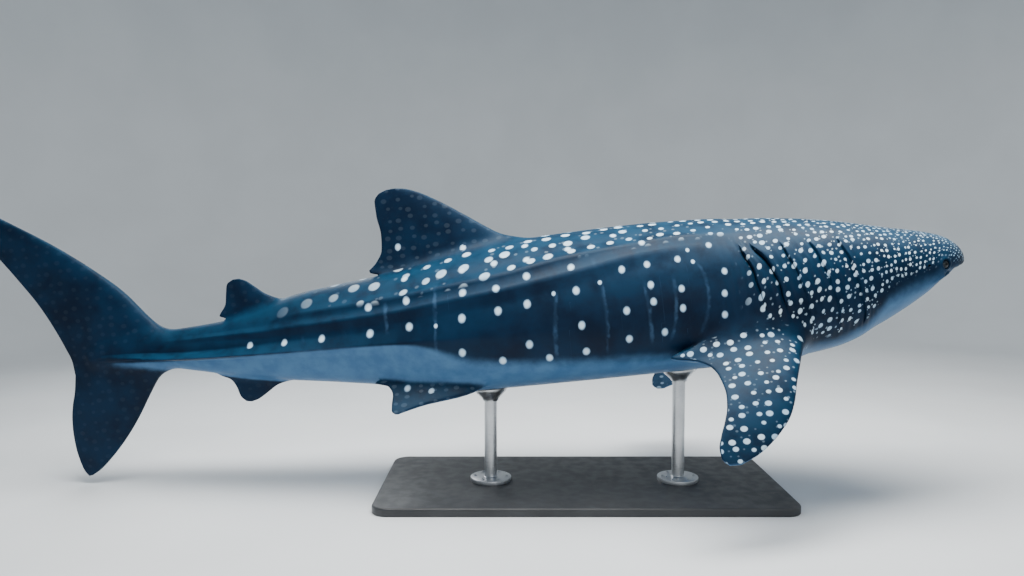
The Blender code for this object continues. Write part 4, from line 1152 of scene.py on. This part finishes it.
# The eyes
# Small glossy balls set low on the sides of the head: a black pupil in a dark bronze iris. The
# angle from the middle of the pupil, in radians, tells where each part ends.
EYE_RINGS = 40
EYE_AROUND = 56
CORNEA_RISE = 0.0022
CORNEA_REACH = 0.42
PUPIL_EDGE = (0.20, 0.23)
IRIS_EDGE = (0.50, 0.56)
FIBRE_LENGTH = 0.2                  # the fibres of the iris run out from the pupil

look = Finish("eye_gloss")
opening = look.attribute("from_pupil")
fibres = look.noise(look.attribute("round", "Vector"), scale=26, detail=4, roughness=0.7)
iris = look.mix(look.ramp(fibres, 0.35, 0.7), (0.004, 0.007, 0.010), (0.022, 0.024, 0.021))
veins = look.noise(look.object_place(), scale=120, detail=4)
white = look.patches(veins, (0.004, 0.010, 0.018), (0.010, 0.020, 0.032))
rim = look.mix(look.ramp(opening, *IRIS_EDGE), iris, white)
whole = look.mix(look.ramp(opening, *PUPIL_EDGE), (0.001, 0.001, 0.0015), rim)
look.shade({"Base Color": whole, "Roughness": 0.10, "Specular IOR Level": 0.2, "Coat Weight": 0.15,
            "Coat Roughness": 0.03})

# Points ring by ring from the pupil to the back, then the two poles
rows = EYE_RINGS - 1
poles = rows * EYE_AROUND
polar = np.append(np.repeat(np.arange(1, EYE_RINGS) * math.pi / EYE_RINGS, EYE_AROUND), (0, math.pi))
turn = np.append(np.tile(np.linspace(0, 2 * math.pi, EYE_AROUND, endpoint=False), rows), (0, 0))
radius = EYE_RADIUS + CORNEA_RISE * np.exp(-(polar / CORNEA_REACH) ** 2)
rounds = np.stack([np.cos(turn), np.sin(turn), FIBRE_LENGTH * polar], axis=-1)
rounds[poles:] = 0
faces = (ring_faces(rows, EYE_AROUND) + fan(0, EYE_AROUND, poles)
         + fan(poles - EYE_AROUND, EYE_AROUND, poles + 1))
for side, word in ((-1, "right"), (1, "left")):
    centre, out = spot_on_head(EYE_PLACE, side)
    aside = np.cross(out, (1.0, 0, 0))
    aside /= np.linalg.norm(aside)
    ways = np.array([out, aside, np.cross(out, aside)])
    flat = radius * np.sin(polar)
    ball_points = centre + np.stack([radius * np.cos(polar), flat * np.cos(turn), flat * np.sin(turn)],
                                    axis=-1) @ ways
    ball = new_piece("eye_ball_" + word, place(*ball_points.T), faces, from_pupil=polar, round=rounds)
    ball.data.materials.append(look.material)
    ball.data.shade_smooth()
    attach(ball, "root")
    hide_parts("eye_" + word)


# The stand's base
# A steel plate with round corners and a soft upper edge, sprayed satin charcoal, with the fine
# orange peel of the spray in it.
CORNER = 0.10
EDGE_ROUND = 0.012
UNDER_EDGE = 0.004
CORNER_STEPS = 18
EDGE_STEPS = 5
SHARP_EDGE = math.radians(35)
low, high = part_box("stand_base")


def plate_loop(inset, z):
    """The plate's outline with round corners, drawn in by an inset, at a height."""
    loop = []
    radius = CORNER - inset
    for along, across, start in ((1, 1, 0), (-1, 1, 90), (-1, -1, 180), (1, -1, 270)):
        for turn in np.radians(np.linspace(start, start + 90, CORNER_STEPS)):
            loop.append((along * (high.x - CORNER) + radius * math.cos(turn),
                         across * (high.y - CORNER) + radius * math.sin(turn), z))
    return loop


def stack(name, loops):
    """A closed piece through loops of equal count, with a flat face at each end."""
    count = len(loops[0])
    last = (len(loops) - 1) * count
    ends = [tuple(range(count)), tuple(range(last, last + count))]
    return new_piece(name, np.concatenate(loops), ends + ring_faces(len(loops), count))


def stand_piece(name, loops, material):
    """A piece of the stand, smooth but for its sharp edges."""
    thing = stack(name, loops)
    thing.data.materials.append(material)
    thing.data.shade_smooth()
    thing.data.set_sharp_from_angle(angle=SHARP_EDGE)
    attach(thing, "root")
    return thing


look = Finish("base_paint")
where = look.object_place()
look.shade({"Base Color": look.patches(look.noise(where, scale=3.0, detail=4),
                                       (0.020, 0.022, 0.025), (0.034, 0.036, 0.039)),
            "Roughness": look.ramp(look.noise(where, scale=14, detail=4), 0.3, 0.7, start=0.40, end=0.54),
            "Normal": look.bump(look.noise(where, scale=420, detail=2), distance=0.0006, strength=0.4)})
loops = [plate_loop(UNDER_EDGE, 0.0), plate_loop(0.0, UNDER_EDGE)]
for turn in np.linspace(0, math.pi / 2, EDGE_STEPS + 1):
    loops.append(plate_loop(EDGE_ROUND * (1 - math.cos(turn)), high.z - EDGE_ROUND * (1 - math.sin(turn))))
plate = stand_piece("base_plate", loops, look.material)
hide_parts("stand_base")


# The stand's rods, feet and saddles
# Turned from stainless steel and brushed round. A rod is welded to its foot and to the saddle
# that carries the belly, on a thin black rubber pad.
SIDES = 96
UNDER_BEVEL = 0.001
FOOT_BEVEL = 0.004
BEVEL_SWELL = 0.3                   # the bevel is a little round, by this share of its width
BEAD_REACH = 0.010
BEAD_HOLLOW = 1.5
BEAD_STEPS = 5
SADDLE_NECK = 0.050
SADDLE_ROWS = 8
TOP_SHARES = (0.8, 0.5, 0.2)
PAD_THICKNESS = 0.006
PAD_OVERHANG = 0.003
PAD_CLEAR = 0.0003                  # the pad lies this little above the saddle
PAD_PRESSED = 0.001                 # and reaches this far into the skin, under the weight
PAD_SHARES = (0.2, 0.6, 0.9, 1.0)

look = Finish("brushed_steel")
brush = look.noise(look.object_place((1.0, 1.0, 60.0)), scale=12, detail=4, roughness=0.6)
tone = look.noise(look.object_place(), scale=5.0)
look.shade({"Base Color": look.patches(tone, (0.46, 0.47, 0.49), (0.60, 0.61, 0.62)), "Metallic": 1.0,
            "Roughness": look.ramp(brush, 0.3, 0.7, start=0.26, end=0.42),
            "Normal": look.bump(brush, distance=0.0004, strength=0.35)})
steel = look.material

look = Finish("pad_rubber")
speckle = look.noise(look.object_place(), scale=90)
look.shade({"Base Color": look.patches(speckle, (0.008, 0.008, 0.009), (0.018, 0.018, 0.019)),
            "Roughness": 0.75, "Normal": look.bump(speckle, distance=0.0006, strength=0.4)})
rubber = look.material


def level_ring(x, radius, z, sides=SIDES):
    """A level ring of points about the vertical line at x."""
    turns = np.linspace(0, 2 * math.pi, sides, endpoint=False)
    return np.stack(np.broadcast_arrays(x + radius * np.cos(turns), radius * np.sin(turns), z), axis=-1)


def under_belly(x, radius, drop):
    """A ring that follows the belly, this far under it."""
    ring = level_ring(x, radius, high.z)
    ring[:, 2] = [skin.ray_cast(point, (0, 0, 1))[1].z - drop for point in ring]
    return ring


for word in ("front", "rear"):
    foot_low, foot_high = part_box("stand_foot_" + word)
    rod_low, rod_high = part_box("stand_rod_" + word)
    saddle_low, saddle_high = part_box("stand_saddle_" + word)
    x = (foot_low.x + foot_high.x) / 2
    radius, rod_radius, rim = ((upper.x - lower.x) / 2 for lower, upper in (
        (foot_low, foot_high), (rod_low, rod_high), (saddle_low, saddle_high)))
    swell = BEVEL_SWELL * FOOT_BEVEL
    turned = ((radius - UNDER_BEVEL, foot_low.z), (radius, foot_low.z + UNDER_BEVEL),
              (radius, foot_high.z - FOOT_BEVEL), (radius - swell, foot_high.z - swell),
              (radius - FOOT_BEVEL, foot_high.z))
    foot = stand_piece("foot_" + word, [level_ring(x, wide, z) for wide, z in turned], steel)
    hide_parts("stand_foot_" + word)
    turned = [(rod_radius + BEAD_REACH * (1 - math.sin(turn)) ** BEAD_HOLLOW,
               rod_low.z + BEAD_REACH * (1 - math.cos(turn)))
              for turn in np.linspace(0, math.pi / 2, BEAD_STEPS + 1)]
    turned.append((rod_radius, rod_high.z))
    rod = stand_piece("rod_" + word, [level_ring(x, wide, z) for wide, z in turned], steel)
    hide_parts("stand_rod_" + word)
    top_ring = under_belly(x, rim, PAD_THICKNESS)
    neck_ring = level_ring(x, SADDLE_NECK, saddle_low.z)
    loops = [neck_ring + (top_ring - neck_ring) * (eased(share), eased(share), share)
             for share in np.linspace(0, 1, SADDLE_ROWS + 1)]
    loops += [under_belly(x, rim * share, PAD_THICKNESS) for share in TOP_SHARES]
    saddle = stand_piece("saddle_" + word, loops, steel)
    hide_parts("stand_saddle_" + word)
    pad_rim = rim + PAD_OVERHANG
    loops = [under_belly(x, pad_rim * share, PAD_THICKNESS - PAD_CLEAR) for share in PAD_SHARES]
    loops += [under_belly(x, pad_rim * share, -PAD_PRESSED) for share in PAD_SHARES[::-1]]
    stand_piece("pad_" + word, loops, rubber)

# Six round-headed screws with a hexagon socket hold each foot to the base
SCREW_COUNT = 6
SCREW_CIRCLE = 0.100
SCREW_TURN = 1.1                    # each screw is turned this much more than the one before
SCREW_PROFILE = ((0.011, 0.0), (0.011, 0.0015), (0.0098, 0.0036), (0.0078, 0.0052), (0.0064, 0.006))
SCREW_SIDES = 24
SCREW_SHARP = math.radians(30)
HEXAGON = 6
HEXAGON_RADIUS = 0.0050
HEXAGON_FLOOR = 0.002


def screw_head():
    """One screw's head: a low dome with a hexagon socket, its underside at height 0."""
    loops = [level_ring(0.0, wide, z, SCREW_SIDES) for wide, z in SCREW_PROFILE]
    corners = level_ring(0.0, HEXAGON_RADIUS, 0.0, HEXAGON)
    corners = np.concatenate([corners, corners[:1]])
    at = np.arange(SCREW_SIDES) * HEXAGON / SCREW_SIDES
    x, y, z = (np.interp(at, range(HEXAGON + 1), values) for values in corners.T)
    loops += [np.stack([x, y, z + height], axis=-1) for height in (SCREW_PROFILE[-1][1], HEXAGON_FLOOR)]
    return stack("screw_head", loops)


def screw_circle_tree(head):
    """Screws set evenly on a circle, each turned to its own angle, and the names of the inputs."""
    tree = bpy.data.node_groups.new("screw_circle", "GeometryNodeTree")
    names = {}
    for name, kind in (("Count", "NodeSocketInt"), ("Circle Radius", "NodeSocketFloat"),
                       ("Height", "NodeSocketFloat"), ("Middle X", "NodeSocketFloat")):
        names[name] = tree.interface.new_socket(name=name, in_out="INPUT", socket_type=kind).identifier
    tree.interface.new_socket(name="Geometry", in_out="OUTPUT", socket_type="NodeSocketGeometry")
    given = add_node(tree, "NodeGroupInput", {}).outputs
    circle = add_node(tree, "GeometryNodeMeshCircle",
                      {"Vertices": given["Count"], "Radius": given["Circle Radius"]}).outputs["Mesh"]
    screw = add_node(tree, "GeometryNodeObjectInfo", {"Object": head}).outputs["Geometry"]
    index = add_node(tree, "GeometryNodeInputIndex", {}).outputs[0]
    angle = add_node(tree, "ShaderNodeMath", {0: index, 1: SCREW_TURN}, operation="MULTIPLY").outputs[0]
    spin = add_node(tree, "ShaderNodeCombineXYZ", {"Z": angle}).outputs[0]
    turn = add_node(tree, "FunctionNodeEulerToRotation", {0: spin}).outputs[0]
    screws = add_node(tree, "GeometryNodeInstanceOnPoints",
                      {"Points": circle, "Instance": screw, "Rotation": turn}).outputs[0]
    spot = add_node(tree, "ShaderNodeCombineXYZ", {"X": given["Middle X"], "Z": given["Height"]}).outputs[0]
    moved = add_node(tree, "GeometryNodeTransform", {"Geometry": screws, "Translation": spot}).outputs[0]
    real = add_node(tree, "GeometryNodeRealizeInstances", {"Geometry": moved}).outputs[0]
    metal = add_node(tree, "GeometryNodeSetMaterial", {"Geometry": real, "Material": steel}).outputs[0]
    add_node(tree, "NodeGroupOutput", {"Geometry": metal})
    return tree, names


head = screw_head()
tree, names = screw_circle_tree(head)
for word in ("front", "rear"):
    foot_low, foot_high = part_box("stand_foot_" + word)
    holder = new_piece("screws_" + word, [], [])
    step = holder.modifiers.new("screws", "NODES")
    step.node_group = tree
    for name, value in (("Count", SCREW_COUNT), ("Circle Radius", SCREW_CIRCLE),
                        ("Height", foot_high.z), ("Middle X", (foot_low.x + foot_high.x) / 2)):
        step[names[name]] = value
    graph = bpy.context.evaluated_depsgraph_get()
    graph.update()
    mesh = bpy.data.meshes.new_from_object(holder.evaluated_get(graph))
    holder.modifiers.clear()
    holder.data = mesh
    mesh.set_sharp_from_angle(angle=SCREW_SHARP)
    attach(holder, "root")
bpy.data.objects.remove(head, do_unlink=True)


# The room
# A plain pale floor that runs up into a round backdrop, under large soft lights.
FLOOR_RADIUS = 8.5
SWEEP = 3.5
WALL_HEIGHT = 8.0
ROOM_SIDES = 96
SWEEP_STEPS = 20
AIR_COLOUR = (0.70, 0.78, 0.86)
AIR_STRENGTH = 0.40
CAMERA_PLACE = (-0.432, -5.05, 1.6134)
CAMERA_TILT = math.radians(86.2)
SENSOR_WIDTH = 36.0
LENS = 28.27

look = Finish("backdrop_paint")
cloudy = look.noise(look.object_place(), scale=0.8)
look.shade({"Base Color": look.patches(cloudy, (0.72, 0.75, 0.77), (0.76, 0.79, 0.81)), "Roughness": 0.8})
line = [(FLOOR_RADIUS + SWEEP * math.sin(turn), SWEEP - SWEEP * math.cos(turn))
        for turn in np.linspace(0, math.pi / 2, SWEEP_STEPS)]
line.append((FLOOR_RADIUS + SWEEP, WALL_HEIGHT))
sheet = np.concatenate([level_ring(0.0, radius, z, ROOM_SIDES) for radius, z in line])
room = new_piece("backdrop", sheet, [tuple(range(ROOM_SIDES))] + ring_faces(len(line), ROOM_SIDES))
room.data.shade_smooth()
room.data.materials.append(look.material)


def soft_light(name, at, aim, size, power, colour):
    """A large soft lamp at a place, turned to the point that it lights."""
    lamp = bpy.data.lights.new(name, "AREA")
    lamp.shape = "RECTANGLE"
    lamp.size, lamp.size_y = size
    lamp.energy = power
    lamp.color = colour
    thing = bpy.data.objects.new(name, lamp)
    bpy.context.scene.collection.objects.link(thing)
    thing.location = at
    way = np.array(aim, float) - np.array(at, float)
    flat = math.hypot(way[0], way[1])
    thing.rotation_euler = (math.atan2(flat, -way[2]), 0, math.atan2(way[1], way[0]) - math.pi / 2)


soft_light("top_light", at=(0.4, -0.5, 5.2), aim=(0.2, 0, 1.2), size=(7.0, 2.2), power=720,
           colour=(1.0, 0.99, 0.96))
soft_light("front_light", at=(1.5, -6.5, 3.4), aim=(0, 0, 1.2), size=(4.0, 3.0), power=80,
           colour=(0.94, 0.97, 1.0))
soft_light("back_light", at=(-3.5, 4.5, 4.0), aim=(0, 0, 1.3), size=(4.0, 2.0), power=120,
           colour=(0.95, 0.98, 1.0))
world = bpy.data.worlds.new("room_air")
world.use_nodes = True
air = world.node_tree.nodes["Background"]
put(world.node_tree, air.inputs["Color"], AIR_COLOUR)
put(world.node_tree, air.inputs["Strength"], AIR_STRENGTH)
bpy.context.scene.world = world

camera = bpy.data.cameras.new("camera")
camera.sensor_width = SENSOR_WIDTH
camera.lens = LENS
eye_point = bpy.data.objects.new("camera", camera)
bpy.context.scene.collection.objects.link(eye_point)
eye_point.location = CAMERA_PLACE
eye_point.rotation_euler = (CAMERA_TILT, 0, 0)
bpy.context.scene.camera = eye_point
